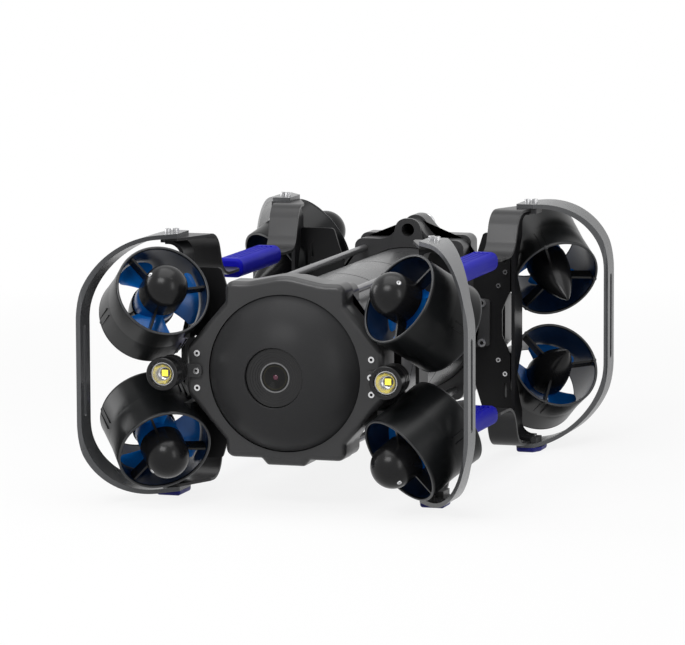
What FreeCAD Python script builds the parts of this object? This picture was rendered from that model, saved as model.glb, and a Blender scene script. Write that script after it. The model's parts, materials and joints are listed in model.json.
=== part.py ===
import FreeCAD, Part
import math
import os
from FreeCAD import Vector

# Eight-thruster inspection vehicle. Millimetres, +Z up, the front faces -Y. The vehicle is modelled
# about its own centre, where left and right, front and rear, top and bottom mirror each other, and is
# lifted at the end so that its feet stand on Z = 0.

# ---- pressure housing -------------------------------------------------------------------------
HOUSING_RADIUS = 105.0
HOUSING_WALL = 6.0
HOUSING_HALF_LENGTH = 318.0
SEAM_GROOVE_DEPTH = 1.2
SEAM_GROOVE_WIDTH = 3.0
SEAM_SPACING = 150.0

# ---- end frames -------------------------------------------------------------------------------
FRAME_COVER = 12.0
FRAME_FACE_Y = HOUSING_HALF_LENGTH + FRAME_COVER
FRAME_DEPTH = 74.0
EAR_DEPTH = 50.0
FRAME_BORE_CLEARANCE = 1.0
LOBE_HALF_WIDTH = 84.0
LOBE_HEIGHT = HOUSING_RADIUS + 11.0
LOBE_FOOT_HEIGHT = HOUSING_RADIUS - 12.0
EAR_HALF_WIDTH = HOUSING_RADIUS + 33.0
EAR_STEP_HALF_WIDTH = HOUSING_RADIUS + 19.0
EAR_SHOULDER_HEIGHT = 32.0
CROWN_HEIGHT = HOUSING_RADIUS + 16.5
FRONT_HUMP_HEIGHT = HOUSING_RADIUS + 25.5
KEEL_HUMP_HEIGHT = HOUSING_RADIUS + 20.0
KEEL_HALF_WIDTH = 30.0
REAR_HUMP_HEIGHT = HOUSING_RADIUS + 44.0
FRONT_HUMP_HALF_WIDTH = 8.0
FRONT_HUMP_RADIUS = 60.0
FRONT_HUMP_FOOT_X = 52.0
REAR_HUMP_HALF_WIDTH = 8.5
REAR_HUMP_RADIUS = 17.0
REAR_HUMP_FOOT_X = 31.5
REAR_HUMP_FOOT_RADIUS = 28.0
FLANGE_DEPTH = 40.0
BODY_CROWN_DROP = 5.0
BODY_LOBE_INSET = 2.0
FRAME_EDGE_RADIUS = 9.0
LOBE_CORNER_RADIUS = 12.0
LOBE_FOOT_RADIUS = 8.0
EAR_CORNER_RADIUS = 14.0
KEEL_SLOPE = 4.0
KEEL_RADIUS = 6.0
EYE_HEIGHT = HOUSING_RADIUS + 26.0
EYE_RADIUS = 9.5
EYE_BOSS_THICKNESS = 6.0
EYE_BOSS_WALL = 7.0
EYE_BOSS_DROP = 20.0
EYE_BOSS_SPREAD = 9.0

# ---- tie rods ---------------------------------------------------------------------------------
ROD_RADIUS = 5.0
ROD_X = 68.0
ROD_Z = HOUSING_RADIUS - 3.0
ROD_SOCKET_DEPTH = 20.0

# ---- dome shroud, port and camera -------------------------------------------------------------
DOME_RADIUS = HOUSING_RADIUS + 5.5
DOME_RISE = 47.0
DOME_WALL = 4.5
DOME_SHOULDER_THINNING = 0.35
DOME_SIDE_HEIGHT = 8.0
SHOULDER_WIDTH = 18.5
SHOULDER_RISE = 34.0
PORT_RADIUS = 40.0
PORT_THICKNESS = 7.0
PORT_RECESS = 5.0
PORT_SEAT_WIDTH = 5.0
PORT_GAP = 0.3
PORT_LIP = 2.0
LENS_RADIUS = 20.0
LENS_LENGTH = 26.0
LENS_RIM = 3.0
LENS_MOUTH_TAPER = 6.0
LENS_MOUTH_DEPTH = 8.0
CAMERA_BODY_SIDE = 62.0
CAMERA_BODY_LENGTH = 44.0
CAMERA_CORNER_RADIUS = 6.0
CAMERA_GAP = 0.3

# ---- inside the housing -----------------------------------------------------------------------
TRAY_WIDTH = 150.0
TRAY_THICKNESS = 4.0
TRAY_LENGTH = 420.0
TRAY_DROP = 8.0
TRAY_CLEARANCE = 0.3
BOARD_COUNT = 3
BOARD_LENGTH = 110.0
BOARD_WIDTH = 110.0
BOARD_THICKNESS = 12.0
BATTERY_RADIUS = 33.0
BATTERY_LENGTH = 260.0
BATTERY_PITCH = 70.0

# ---- rear end cap -----------------------------------------------------------------------------
CAP_RADIUS = HOUSING_RADIUS + 3.0
CAP_THICKNESS = 10.0
SPIGOT_LENGTH = 22.0
SPIGOT_CLEARANCE = 0.5
SPIGOT_WALL = 8.0
CAP_EDGE = 1.5
GLAND_COUNT = 8
GLAND_RING_RADIUS = 74.0
GLAND_RADIUS = 9.0
GLAND_HEIGHT = 14.0
GLAND_NECK_RADIUS = 5.4
TETHER_GLAND_RADIUS = 17.0
TETHER_GLAND_HEIGHT = 26.0
TETHER_NUT_HEIGHT = 11.7
TETHER_NECK_BASE_RADIUS = 12.75
TETHER_NECK_TOP_RADIUS = 8.5
TETHER_BORE_FLOOR = 4.0
TETHER_BORE_RADIUS = 4.5

# ---- bumper loops -----------------------------------------------------------------------------
LOOP_OUTER_X = 272.0
LOOP_TOP_Z = 176.0
LOOP_THICKNESS = 6.0
LOOP_BEND_WIDTH = 81.0
LOOP_BEND_HEIGHT = 109.0
TAB_INNER_X = 170.0
TAB_NEAR_Y = FRAME_FACE_Y - 108.0
TAB_FAR_Y = FRAME_FACE_Y - 60.0
TAB_CHAMFER_X = 196.0
LOOP_POST_NEAR_Y = FRAME_FACE_Y + 26.0
LOOP_POST_FAR_Y = FRAME_FACE_Y + 62.0
LOOP_SLOT_HALF_LENGTH = 62.0
LOOP_SLOT_WIDTH = 9.0
LOOP_PLAN_RADIUS = 6.0
TAB_CORNER_RADIUS = 2.0
TAB_BLOCK_WIDTH = 9.0
TAB_BLOCK_HEIGHT = 8.0
TAB_BLOCK_START_Y = TAB_NEAR_Y + 4.0
TAB_BLOCK_END_Y = TAB_NEAR_Y + 34.0
TAB_BLOCK_GAP = 0.3

# ---- grip straps and grips --------------------------------------------------------------------
STRAP_THICKNESS = 4.0
STRAP_BEND_RADIUS = 28.0
STRAP_SLOPE_TOP_Y = TAB_NEAR_Y - 42.0
STRAP_SLOPE_FOOT_Y = TAB_NEAR_Y - 62.0
STRAP_TAPER_TOP_Y = TAB_NEAR_Y - 10.0
STRAP_TAPER_FOOT_Y = TAB_NEAR_Y - 94.0
STRAP_GRIP_Z = 109.0
STRAP_TOP_INNER_X = 145.0
STRAP_FOOT_INNER_X = 139.0
STRAP_FOOT_OUTER_X = 181.0
STRAP_CORE_MARGIN = 8.0
STRAP_CORE_END_GAP = 1.0
STRAP_WIDENING = 12.0
STRAP_PLAN_RADIUS = 10.0
STRAP_CORNER_RADIUS = 6.0
GRIP_END_MARGIN = 40.0
GRIP_HALF_LENGTH = STRAP_TAPER_FOOT_Y - GRIP_END_MARGIN
GRIP_HEIGHT = 27.0
GRIP_CORNER_RADIUS = 11.0
GRIP_END_RADIUS = 5.0
GRIP_RIB_SETBACK = 14.0
GRIP_RIB_COUNT = 4
GRIP_RIB_RADIUS = 2.56
GRIP_RIB_RISE = 0.96
GRIP_CORE_CLEARANCE = 0.2

# ---- inner bands ------------------------------------------------------------------------------
BAND_WEB_X = 163.0
BAND_THICKNESS = 5.0
BAND_BEND_RADIUS = 22.0
BAND_FLANGE_END_X = 190.0
BAND_DUCT_CLEARANCE = 4.2
BAND_TAB_SETBACK = 6.0

# ---- corner plates and their clamps -----------------------------------------------------------
PLATE_THICKNESS = 4.0
PLATE_HALF_HEIGHT = 130.0
PLATE_INNER_X = 98.0
PLATE_NECK_X = 141.0
PLATE_WAIST_X = 153.0
PLATE_FOOT_Z = 60.0
PLATE_SHOULDER_Z = 82.0
PLATE_SLOPE_RUN = 15.0
PLATE_NOTCH_TOP_Z = 104.0
PLATE_NOTCH_Z = 98.0
PLATE_WAIST_Z = 47.0
PLATE_NECK_Z = 18.0
PLATE_CORNER_RADIUS = 6.0
PLATE_NOTCH_RADIUS = 4.0
PLATE_HOUSING_CLEARANCE = 3.0
PLATE_SLOT_X = 146.0
PLATE_SLOT_Z = 98.0
PLATE_SLOT_LENGTH = 22.0
PLATE_SLOT_WIDTH = 4.0
CLAMP_THICKNESS = 6.0
CLAMP_HALF_HEIGHT = 37.0
CLAMP_WIDTH = 26.0
CLAMP_CORNER = 4.0
CLAMP_SCREW_X = HOUSING_RADIUS + 8.0
CLAMP_SCREW_Z = 29.0

# ---- feet -------------------------------------------------------------------------------------
FOOT_THICKNESS = 7.0
FOOT_EDGE_RADIUS = 4.0
FOOT_CORNER_RADIUS = 3.0
FOOT_STEP_X = 8.0
FOOT_STEP_Y = 16.0
FOOT_HEAD_CLEARANCE = 0.3

# ---- thrusters: the axis runs from the tail up to the nose -------------------------------------
NOSE_X = 158.0
NOSE_Y = FRAME_FACE_Y + 24.0
NOSE_Z = 114.0
THRUSTER_YAW = 38.0
THRUSTER_PITCH = 30.0
DUCT_RADIUS = 64.4
DUCT_WALL = 3.0
DUCT_LENGTH = 90.0
DUCT_SETBACK = 12.0
DUCT_WAIST = 1.2
DUCT_LIP = 1.3
DUCT_LIP_RUN = 2.5
DUCT_BORE_LEAD = 6.0
NOSE_RADIUS = 30.0
NOSE_BODY_LENGTH = 26.0
HUB_RADIUS = 28.5
HUB_LENGTH = 34.0
HUB_GAP = 1.0
TAIL_BASE_RADIUS = 30.0
TAIL_LENGTH = 90.0
TAIL_TIP_RADIUS = 2.5
TAIL_BASE_LEAN = 2.0
SHAFT_RADIUS = 5.0
SHAFT_CLEARANCE = 0.05
STRUT_COUNT = 3
STRUT_THICKNESS = 3.2
STRUT_CHORD = 15.0
STRUT_INSET = 3.0
STRUT_ROOT_DEPTH = 1.0
STRUT_TIP_GAP = 0.1
TAIL_STRUT_ROOT = 20.0
FRONT_STRUT_ANGLE = 4.0
TAIL_STRUT_ANGLE = 64.0
RIB_HEIGHT = 0.9
RIB_WIDTH = 1.2
RIB_LENGTH = 34.0
RIB_SPREAD = 5.0
RIB_ROOT = 1.5
RIB_SETBACK = 2.0
BLADE_COUNT = 3
BLADE_TIP_CLEARANCE = 1.6
BLADE_ROOT_ARC = 62.0
BLADE_TIP_ARC = 78.0
BLADE_THICKNESS = 2.4
BLADE_AXIAL_SPAN = 22.0
BLADE_ROOT_DEPTH = 1.5
DUCT_FOOT_X0 = 131.0
DUCT_FOOT_X1 = 152.0
DUCT_FOOT_Z0 = 44.0
DUCT_FOOT_Z1 = 84.0
DUCT_FOOT_SETBACK = 20.0
DUCT_FOOT_EAR_GAP = 1.5
DUCT_FOOT_SINK = 1.5
DUCT_SCREW_INNER_INSET = 5.0
DUCT_SCREW_OUTER_INSET = 6.0
DUCT_SCREW_LENGTH = 11.0

# ---- lights -----------------------------------------------------------------------------------
LIGHT_X = HOUSING_RADIUS + 50.5
LIGHT_RADIUS = 20.8
BEZEL_RADIUS = 22.4
BEZEL_LENGTH = 9.0
LIGHT_LENGTH = 45.0
LIGHT_GROOVE_COUNT = 3
LIGHT_GROOVE_WIDTH = 3.0
LIGHT_GROOVE_DEPTH = 1.5
LIGHT_GROOVE_START = 8.0
LIGHT_GROOVE_PITCH = 7.2
BEZEL_EDGE = 1.2
LIGHT_MOUTH_RADIUS = 17.0
LIGHT_MOUTH_DEPTH = 16.0
LIGHT_LENS_THICKNESS = 3.0
LIGHT_LENS_RECESS = 2.0
LED_SIDE = 9.0
LED_HEIGHT = 1.5
REFLECTOR_RIM = 0.8
REFLECTOR_FLOOR_RADIUS = 7.2
REFLECTOR_FLOOR = 2.0
BRACKET_THICKNESS = 4.0
BRACKET_HALF_HEIGHT = 11.0
BRACKET_INNER_X = HOUSING_RADIUS + 10.0
BRACKET_OUTER_X = HOUSING_RADIUS + 63.0
BRACKET_INNER_RADIUS = 6.0
BRACKET_OUTER_RADIUS = 8.0
BRACKET_TAPER = 3.0

# ---- lifting shackle --------------------------------------------------------------------------
SHACKLE_WIRE_RADIUS = 2.5
SHACKLE_HALF_WIDTH = 13.5
SHACKLE_RISE = 30.0
SHACKLE_AXIS_Z = HOUSING_RADIUS + 9.0
SHACKLE_STANDOFF = 8.5
SHACKLE_LUG_THICKNESS = 5.0
SHACKLE_LUG_WALL = 3.0
SHACKLE_LUG_CORNER = 4.0
SHACKLE_LUG_GAP = 0.4
SHACKLE_PIN_OVERHANG = 1.5
SHACKLE_BORE_CLEARANCE = 0.06

# ---- screws -----------------------------------------------------------------------------------
CAP_HEAD_RADIUS = 4.25
CAP_HEAD_HEIGHT = 5.0
CAP_SHANK_RADIUS = 2.5
BUTTON_HEAD_RADIUS = 6.0
BUTTON_HEAD_HEIGHT = 3.4
SMALL_HEAD_RADIUS = 3.4
SMALL_HEAD_HEIGHT = 2.6
SMALL_SHANK_RADIUS = 1.6
SCREW_HOLE_CLEARANCE = 0.25
EAR_SCREW_X = HOUSING_RADIUS + 17.0
EAR_SCREW_PITCH = 23.4
EAR_SCREW_LENGTH = 16.0
SCREW_BOTTOM_GAP = 1.0
TAB_SCREWS = ((180.5, TAB_NEAR_Y + 24.0), (190.0, TAB_NEAR_Y + 30.0))

# ---- sizes that follow from the ones above ----------------------------------------------------
CENTRE_HEIGHT = LOOP_TOP_Z + FOOT_THICKNESS
FRAME_INNER_Y = FRAME_FACE_Y - FRAME_DEPTH
EAR_INNER_Y = FRAME_FACE_Y - EAR_DEPTH
FRAME_BORE_RADIUS = HOUSING_RADIUS + FRAME_BORE_CLEARANCE
HOUSING_BORE_RADIUS = HOUSING_RADIUS - HOUSING_WALL
PLATE_NEAR_Y = FRAME_INNER_Y - PLATE_THICKNESS
LOOP_UNDERSIDE_Z = LOOP_TOP_Z - LOOP_THICKNESS
STRAP_UNDERSIDE_Z = LOOP_UNDERSIDE_Z - STRAP_THICKNESS
BAND_UNDERSIDE_Z = STRAP_UNDERSIDE_Z - BAND_THICKNESS
DUCT_BORE_RADIUS = DUCT_RADIUS - DUCT_WALL
DUCT_TAIL_S = -DUCT_SETBACK - DUCT_LENGTH
HUB_TOP_S = -NOSE_BODY_LENGTH - HUB_GAP
HUB_FOOT_S = HUB_TOP_S - HUB_LENGTH
TAIL_BASE_S = HUB_FOOT_S - HUB_GAP
BLADE_TIP_RADIUS = DUCT_BORE_RADIUS - BLADE_TIP_CLEARANCE
LIGHT_BACK_Y = FRAME_FACE_Y + BRACKET_THICKNESS
LIGHT_FRONT_Y = LIGHT_BACK_Y + LIGHT_LENGTH
PORT_FACE_Y = FRAME_FACE_Y + DOME_RISE - PORT_RECESS
PORT_BACK_Y = PORT_FACE_Y - PORT_THICKNESS
SHACKLE_AXIS_Y = FRAME_FACE_Y + SHACKLE_STANDOFF
SHACKLE_LUG_INNER_X = SHACKLE_HALF_WIDTH + SHACKLE_WIRE_RADIUS + SHACKLE_LUG_GAP
SHACKLE_PIN_END_X = SHACKLE_LUG_INNER_X + SHACKLE_LUG_THICKNESS + SHACKLE_PIN_OVERHANG
TAB_BLOCK_X = BAND_FLANGE_END_X + TAB_BLOCK_GAP

# How far a cutter runs past the face it cuts, and how near to a full half round an end may be.
PAST = 1.0
FULL_ROUND = 0.999

X_AXIS = Vector(1, 0, 0)
Y_AXIS = Vector(0, 1, 0)
Z_AXIS = Vector(0, 0, 1)
ORIGIN = Vector(0, 0, 0)
CORNERS = {"front_left": (-1, -1), "front_right": (1, -1), "rear_left": (-1, 1), "rear_right": (1, 1)}
LEVELS = {"upper": 1, "lower": -1}


# ---- helpers ----------------------------------------------------------------------------------
def mirrored(shape, side_x=1, side_y=1, side_z=1):
    """Copy a shape built in the rear, right, upper octant into another octant."""
    result = shape
    for side, axis in ((side_x, X_AXIS), (side_y, Y_AXIS), (side_z, Z_AXIS)):
        if side < 0:
            result = result.mirror(ORIGIN, axis)
    return result


def to_space(point, plane, offset):
    """Put a flat point on the XY, XZ or YZ plane at an offset along the third axis."""
    a, b = point
    if plane == "XY":
        return Vector(a, b, offset)
    if plane == "XZ":
        return Vector(a, offset, b)
    return Vector(offset, a, b)


def rounded_wire(corners, plane, offset=0.0):
    """Closed wire through (a, b, radius) corners, each rounded by a tangent arc."""
    edges = []
    joints = []
    count = len(corners)
    for index in range(count):
        a, b, radius = corners[index]
        here = Vector(a, b, 0)
        before = Vector(corners[index - 1][0], corners[index - 1][1], 0) - here
        after = Vector(corners[(index + 1) % count][0], corners[(index + 1) % count][1], 0) - here
        before.normalize()
        after.normalize()
        turn = before.getAngle(after)
        if radius <= 0 or math.pi - turn < 1e-3:
            joints.append((here, None, here))
            continue
        run = radius / math.tan(turn / 2)
        bisector = before + after
        bisector.normalize()
        middle = here + bisector * (radius / math.sin(turn / 2) - radius)
        joints.append((here + before * run, middle, here + after * run))
    for index in range(count):
        start, middle, end = [p and to_space((p.x, p.y), plane, offset) for p in joints[index]]
        following = joints[(index + 1) % count][0]
        if middle:
            edges.append(Part.Arc(start, middle, end).toShape())
        target = to_space((following.x, following.y), plane, offset)
        if (target - end).Length > 1e-6:
            edges.append(Part.LineSegment(end, target).toShape())
    return Part.Wire(edges)


def prism(corners, plane, start, stop):
    """Solid between two offsets along the axis that the plane leaves out."""
    wire = rounded_wire(corners, plane, start)
    axis = {"XY": Z_AXIS, "XZ": Y_AXIS, "YZ": X_AXIS}[plane]
    return Part.Face(wire).extrude(axis * (stop - start))


def both_sides(corners):
    """Close a half outline given from top centre to bottom centre by mirroring it across X = 0."""
    others = [(-a, b, r) for a, b, r in reversed(corners) if a > 1e-6]
    return corners + others


def above_and_below(corners):
    """Close an upper half outline (b > 0) by mirroring it across b = 0."""
    return corners + [(a, -b, r) for a, b, r in reversed(corners)]


def arc_from(start, tangent, end):
    """Arc that leaves start along the tangent and ends at end."""
    chord = end - start
    across = chord - tangent * (chord.dot(tangent) / tangent.dot(tangent))
    across.normalize()
    radius = chord.dot(chord) / (2 * chord.dot(across))
    centre = start + across * radius
    middle = start + end - centre * 2
    middle.normalize()
    return Part.Arc(start, centre + middle * abs(radius), end).toShape()


def rod(start, direction, radius, length):
    return Part.makeCylinder(radius, length, start, direction)


def turned(points):
    """Revolve a closed flat (radius, height) outline of straight lines about the Z axis."""
    vectors = [Vector(radius, 0, height) for radius, height in points + points[:1]]
    return Part.Face(Part.makePolygon(vectors)).revolve(ORIGIN, Z_AXIS, 360)


def slotted(centre, plane, offset, half_length, width, depth):
    """Obround cutter that runs along the plane's second axis."""
    a, b = centre
    half = width / 2
    end = half * FULL_ROUND
    corners = [(a - half, b - half_length, end), (a + half, b - half_length, end),
               (a + half, b + half_length, end), (a - half, b + half_length, end)]
    return prism(corners, plane, offset, offset + depth)


def screw(seat, outward, head_radius, head_height, shank_radius, shank_length):
    """Headed screw: the head stands on the seat and the shank goes in behind it."""
    head = rod(seat, outward, head_radius, head_height)
    shank = rod(seat - outward * shank_length, outward, shank_radius, shank_length)
    return head.fuse(shank).removeSplitter()


def screw_bore(seat, outward, shank_radius, depth):
    return rod(seat - outward * depth, outward, shank_radius + SCREW_HOLE_CLEARANCE, depth)


def cut_all(shape, tools):
    return shape.cut(Part.makeCompound(tools)) if tools else shape


# ---- end frames -------------------------------------------------------------------------------
def hump(front):
    """Half outline of the hump: its rounded top corner and the hollow corner at its foot."""
    if front:
        return [(FRONT_HUMP_HALF_WIDTH, FRONT_HUMP_HEIGHT, FRONT_HUMP_RADIUS),
                (FRONT_HUMP_FOOT_X, CROWN_HEIGHT, FRONT_HUMP_RADIUS)]
    return [(REAR_HUMP_HALF_WIDTH, REAR_HUMP_HEIGHT, REAR_HUMP_RADIUS),
            (REAR_HUMP_FOOT_X, CROWN_HEIGHT, REAR_HUMP_FOOT_RADIUS)]


def frame_outline(top, ear_half_width, lobe_half_width=LOBE_HALF_WIDTH, drop=0.0):
    """Outline of an end frame, from the hump at the top to the keel tab at the bottom."""
    return both_sides([(x, z - drop, radius) for x, z, radius in top] + [
        (lobe_half_width, CROWN_HEIGHT - drop, LOBE_CORNER_RADIUS),
        (lobe_half_width, LOBE_FOOT_HEIGHT, LOBE_FOOT_RADIUS),
        (ear_half_width, EAR_SHOULDER_HEIGHT, EAR_CORNER_RADIUS),
        (ear_half_width, -EAR_SHOULDER_HEIGHT, EAR_CORNER_RADIUS),
        (lobe_half_width, -LOBE_FOOT_HEIGHT, LOBE_FOOT_RADIUS),
        (lobe_half_width, -LOBE_HEIGHT, LOBE_CORNER_RADIUS),
        (KEEL_HALF_WIDTH + KEEL_SLOPE, -LOBE_HEIGHT, KEEL_RADIUS - 1),
        (KEEL_HALF_WIDTH - KEEL_SLOPE, -KEEL_HUMP_HEIGHT, KEEL_RADIUS)])


def rod_places():
    return [(sx * ROD_X, sz * ROD_Z) for sx in (1, -1) for sz in (1, -1)]


def ear_screw_seats():
    """Three screws on each ear, on the outer face of an end frame."""
    return [Vector(sx * EAR_SCREW_X, FRAME_FACE_Y, row * EAR_SCREW_PITCH)
            for sx in (1, -1) for row in (1, 0, -1)]


def clamp_screw_seats():
    y = PLATE_NEAR_Y - CLAMP_THICKNESS
    return [Vector(sx * CLAMP_SCREW_X, y, sz * CLAMP_SCREW_Z) for sx in (1, -1) for sz in (1, -1)]


def edge_chain(shape, y, smallest):
    """Edges of the outer outline that lie on the face at Y = y, outside the bore."""
    chosen = []
    for edge in shape.Edges:
        box = edge.BoundBox
        middle = edge.valueAt((edge.FirstParameter + edge.LastParameter) / 2)
        on_face = abs(box.YMin - y) < 1e-4 and abs(box.YMax - y) < 1e-4
        if on_face and math.hypot(middle.x, middle.z) > smallest:
            chosen.append(edge)
    return chosen


def end_frame(front):
    """Moulded end frame in the rear place: a thick body, ears and a raised flange, with a round bore."""
    slim = LOBE_HALF_WIDTH - BODY_LOBE_INSET
    body = prism(frame_outline(hump(front), EAR_STEP_HALF_WIDTH, slim, BODY_CROWN_DROP), "XZ",
                 FRAME_INNER_Y, FRAME_FACE_Y)
    ears = prism(frame_outline(hump(front), EAR_HALF_WIDTH, slim, BODY_CROWN_DROP), "XZ",
                 EAR_INNER_Y, FRAME_FACE_Y)
    flange = prism(frame_outline(hump(front), EAR_HALF_WIDTH), "XZ",
                   FRAME_FACE_Y - FLANGE_DEPTH, FRAME_FACE_Y)
    frame = body.fuse([ears, flange]).removeSplitter()
    outer = edge_chain(frame, FRAME_FACE_Y, HOUSING_RADIUS)
    frame = frame.makeFillet(FRAME_EDGE_RADIUS, outer)
    tools = [rod(Vector(0, FRAME_INNER_Y - PAST, 0), Y_AXIS, FRAME_BORE_RADIUS, FRAME_DEPTH + 2 * PAST)]
    tools += [rod(Vector(x, FRAME_INNER_Y, z), Y_AXIS, ROD_RADIUS, ROD_SOCKET_DEPTH)
              for x, z in rod_places()]
    tools += [screw_bore(seat, Y_AXIS, CAP_SHANK_RADIUS, EAR_SCREW_LENGTH) for seat in ear_screw_seats()]
    inner_seats = [Vector(seat.x, FRAME_INNER_Y, seat.z) for seat in clamp_screw_seats()]
    tools += [screw_bore(seat, -Y_AXIS, CAP_SHANK_RADIUS, EAR_SCREW_LENGTH) for seat in inner_seats]
    return cut_all(frame, tools)


def front_end_frame():
    return mirrored(end_frame(front=True), side_y=-1)


def rear_end_frame():
    """The rear frame also has the lifting eye, its boss and two lugs for the shackle."""
    frame = end_frame(front=False)
    boss_foot = CROWN_HEIGHT - EYE_BOSS_DROP
    boss_top = EYE_HEIGHT + EYE_RADIUS + EYE_BOSS_WALL
    boss_y = FRAME_INNER_Y - EYE_BOSS_THICKNESS
    half_foot = EYE_RADIUS + EYE_BOSS_WALL + EYE_BOSS_SPREAD
    half_top = EYE_RADIUS + EYE_BOSS_WALL
    boss = prism([(-half_foot, boss_foot, 0), (half_foot, boss_foot, 0),
                  (half_top, boss_top, half_top * FULL_ROUND),
                  (-half_top, boss_top, half_top * FULL_ROUND)],
                 "XZ", boss_y, FRAME_INNER_Y)
    boss = boss.cut(rod(Vector(0, boss_y - PAST, 0), Y_AXIS, FRAME_BORE_RADIUS,
                        EYE_BOSS_THICKNESS + 2 * PAST))
    frame = frame.fuse([boss] + shackle_lugs()).removeSplitter()
    eye = rod(Vector(0, boss_y - PAST, EYE_HEIGHT), Y_AXIS, EYE_RADIUS,
              FRAME_DEPTH + EYE_BOSS_THICKNESS + 2 * PAST)
    pin_bore = rod(Vector(-SHACKLE_PIN_END_X, SHACKLE_AXIS_Y, SHACKLE_AXIS_Z), X_AXIS,
                   SHACKLE_WIRE_RADIUS + SHACKLE_BORE_CLEARANCE, 2 * SHACKLE_PIN_END_X)
    return frame.cut(Part.makeCompound([eye, pin_bore]))


def shackle_lugs():
    """Two lugs on the rear frame's outer face, outside the shackle's legs."""
    half = SHACKLE_WIRE_RADIUS + SHACKLE_LUG_WALL
    reach = SHACKLE_AXIS_Y + half
    corners = [(FRAME_FACE_Y, SHACKLE_AXIS_Z - half, 0), (reach, SHACKLE_AXIS_Z - half, SHACKLE_LUG_CORNER),
               (reach, SHACKLE_AXIS_Z + half, SHACKLE_LUG_CORNER), (FRAME_FACE_Y, SHACKLE_AXIS_Z + half, 0)]
    lug = prism(corners, "YZ", SHACKLE_LUG_INNER_X, SHACKLE_LUG_INNER_X + SHACKLE_LUG_THICKNESS)
    return [lug, mirrored(lug, side_x=-1)]


def lifting_shackle():
    """Bent wire bail: two legs, a round bow and a pin through the lugs."""
    centre = Vector(0, SHACKLE_AXIS_Y, SHACKLE_AXIS_Z)
    pin = rod(centre - X_AXIS * SHACKLE_PIN_END_X, X_AXIS, SHACKLE_WIRE_RADIUS, 2 * SHACKLE_PIN_END_X)
    leg_top = SHACKLE_RISE - SHACKLE_HALF_WIDTH
    left_foot = centre - X_AXIS * SHACKLE_HALF_WIDTH
    right_foot = centre + X_AXIS * SHACKLE_HALF_WIDTH
    path = Part.Wire([
        Part.LineSegment(left_foot, left_foot + Z_AXIS * leg_top).toShape(),
        Part.Arc(left_foot + Z_AXIS * leg_top, centre + Z_AXIS * SHACKLE_RISE,
                 right_foot + Z_AXIS * leg_top).toShape(),
        Part.LineSegment(right_foot + Z_AXIS * leg_top, right_foot).toShape()])
    section = Part.Wire([Part.Circle(left_foot, Z_AXIS, SHACKLE_WIRE_RADIUS).toShape()])
    bow = path.makePipeShell([section], True, False)
    return bow.fuse(pin).removeSplitter()


# ---- housing, rods and what is inside ---------------------------------------------------------
def main_housing():
    length = 2 * HOUSING_HALF_LENGTH
    start = Vector(0, -HOUSING_HALF_LENGTH, 0)
    tube = rod(start, Y_AXIS, HOUSING_RADIUS, length).cut(rod(start, Y_AXIS, HOUSING_BORE_RADIUS, length))
    grooves = []
    for y in (-SEAM_SPACING / 2, SEAM_SPACING / 2):
        at = Vector(0, y - SEAM_GROOVE_WIDTH / 2, 0)
        ring = rod(at, Y_AXIS, HOUSING_RADIUS + PAST, SEAM_GROOVE_WIDTH)
        grooves.append(ring.cut(rod(at, Y_AXIS, HOUSING_RADIUS - SEAM_GROOVE_DEPTH, SEAM_GROOVE_WIDTH)))
    return cut_all(tube, grooves)


def tie_rods():
    reach = FRAME_INNER_Y + ROD_SOCKET_DEPTH
    return [rod(Vector(x, -reach, z), Y_AXIS, ROD_RADIUS, 2 * reach) for x, z in rod_places()]


def dome_skin(inset):
    """Profile of the dome from its side to its lip: a tight shoulder arc and then a slow crown arc."""
    side = Vector(DOME_RADIUS - inset, -FRAME_FACE_Y - DOME_SIDE_HEIGHT, 0)
    shoulder = Vector(DOME_RADIUS - SHOULDER_WIDTH - inset * DOME_SHOULDER_THINNING,
                      -FRAME_FACE_Y - SHOULDER_RISE + inset, 0)
    lip = Vector(PORT_RADIUS + PORT_LIP, -FRAME_FACE_Y - DOME_RISE + inset, 0)
    first = arc_from(side, -Y_AXIS, shoulder)
    second = arc_from(shoulder, leaving_tangent(first, shoulder), lip)
    return [first, second]


def leaving_tangent(edge, end):
    """The edge's tangent at end, pointing away from its other end."""
    tangent = edge.Curve.tangent(edge.Curve.parameter(end))[0]
    other = [v.Point for v in edge.Vertexes if (v.Point - end).Length > 1e-6][0]
    return tangent if tangent.dot(end - other) > 0 else -tangent


def dome_shroud():
    """Shallow moulded dome with a steep side, a slow crown and a recessed seat for the flat port."""
    face = -FRAME_FACE_Y
    outer = dome_skin(0.0)
    inner = dome_skin(DOME_WALL)
    lip = Vector(PORT_RADIUS + PORT_LIP, face - DOME_RISE, 0)
    lip_back = Vector(PORT_RADIUS + PORT_LIP, face - DOME_RISE + DOME_WALL, 0)
    seat = face - DOME_RISE + PORT_RECESS + PORT_THICKNESS
    bore = PORT_RADIUS - PORT_SEAT_WIDTH
    port = PORT_RADIUS + PORT_GAP
    spigot = HOUSING_BORE_RADIUS - SPIGOT_CLEARANCE
    spigot_end = -HOUSING_HALF_LENGTH + SPIGOT_LENGTH
    side = Vector(DOME_RADIUS - DOME_WALL, face - DOME_SIDE_HEIGHT, 0)
    front_path = [lip, Vector(port, lip.y, 0), Vector(port, seat, 0), Vector(bore, seat, 0),
                  Vector(bore, seat + DOME_WALL, 0), Vector(lip_back.x, seat + DOME_WALL, 0), lip_back]
    sleeve = spigot - DOME_WALL
    back_path = [side, Vector(sleeve, face - DOME_WALL, 0), Vector(sleeve, spigot_end, 0),
                 Vector(spigot, spigot_end, 0), Vector(spigot, face, 0), Vector(DOME_RADIUS, face, 0),
                 Vector(DOME_RADIUS, face - DOME_SIDE_HEIGHT, 0)]
    edges = outer + inner
    for path in (front_path, back_path):
        edges += [Part.LineSegment(a, b).toShape() for a, b in zip(path[:-1], path[1:])]
    return Part.Face(Part.Wire(Part.__sortEdges__(edges))).revolve(ORIGIN, Y_AXIS, 360)


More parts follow.
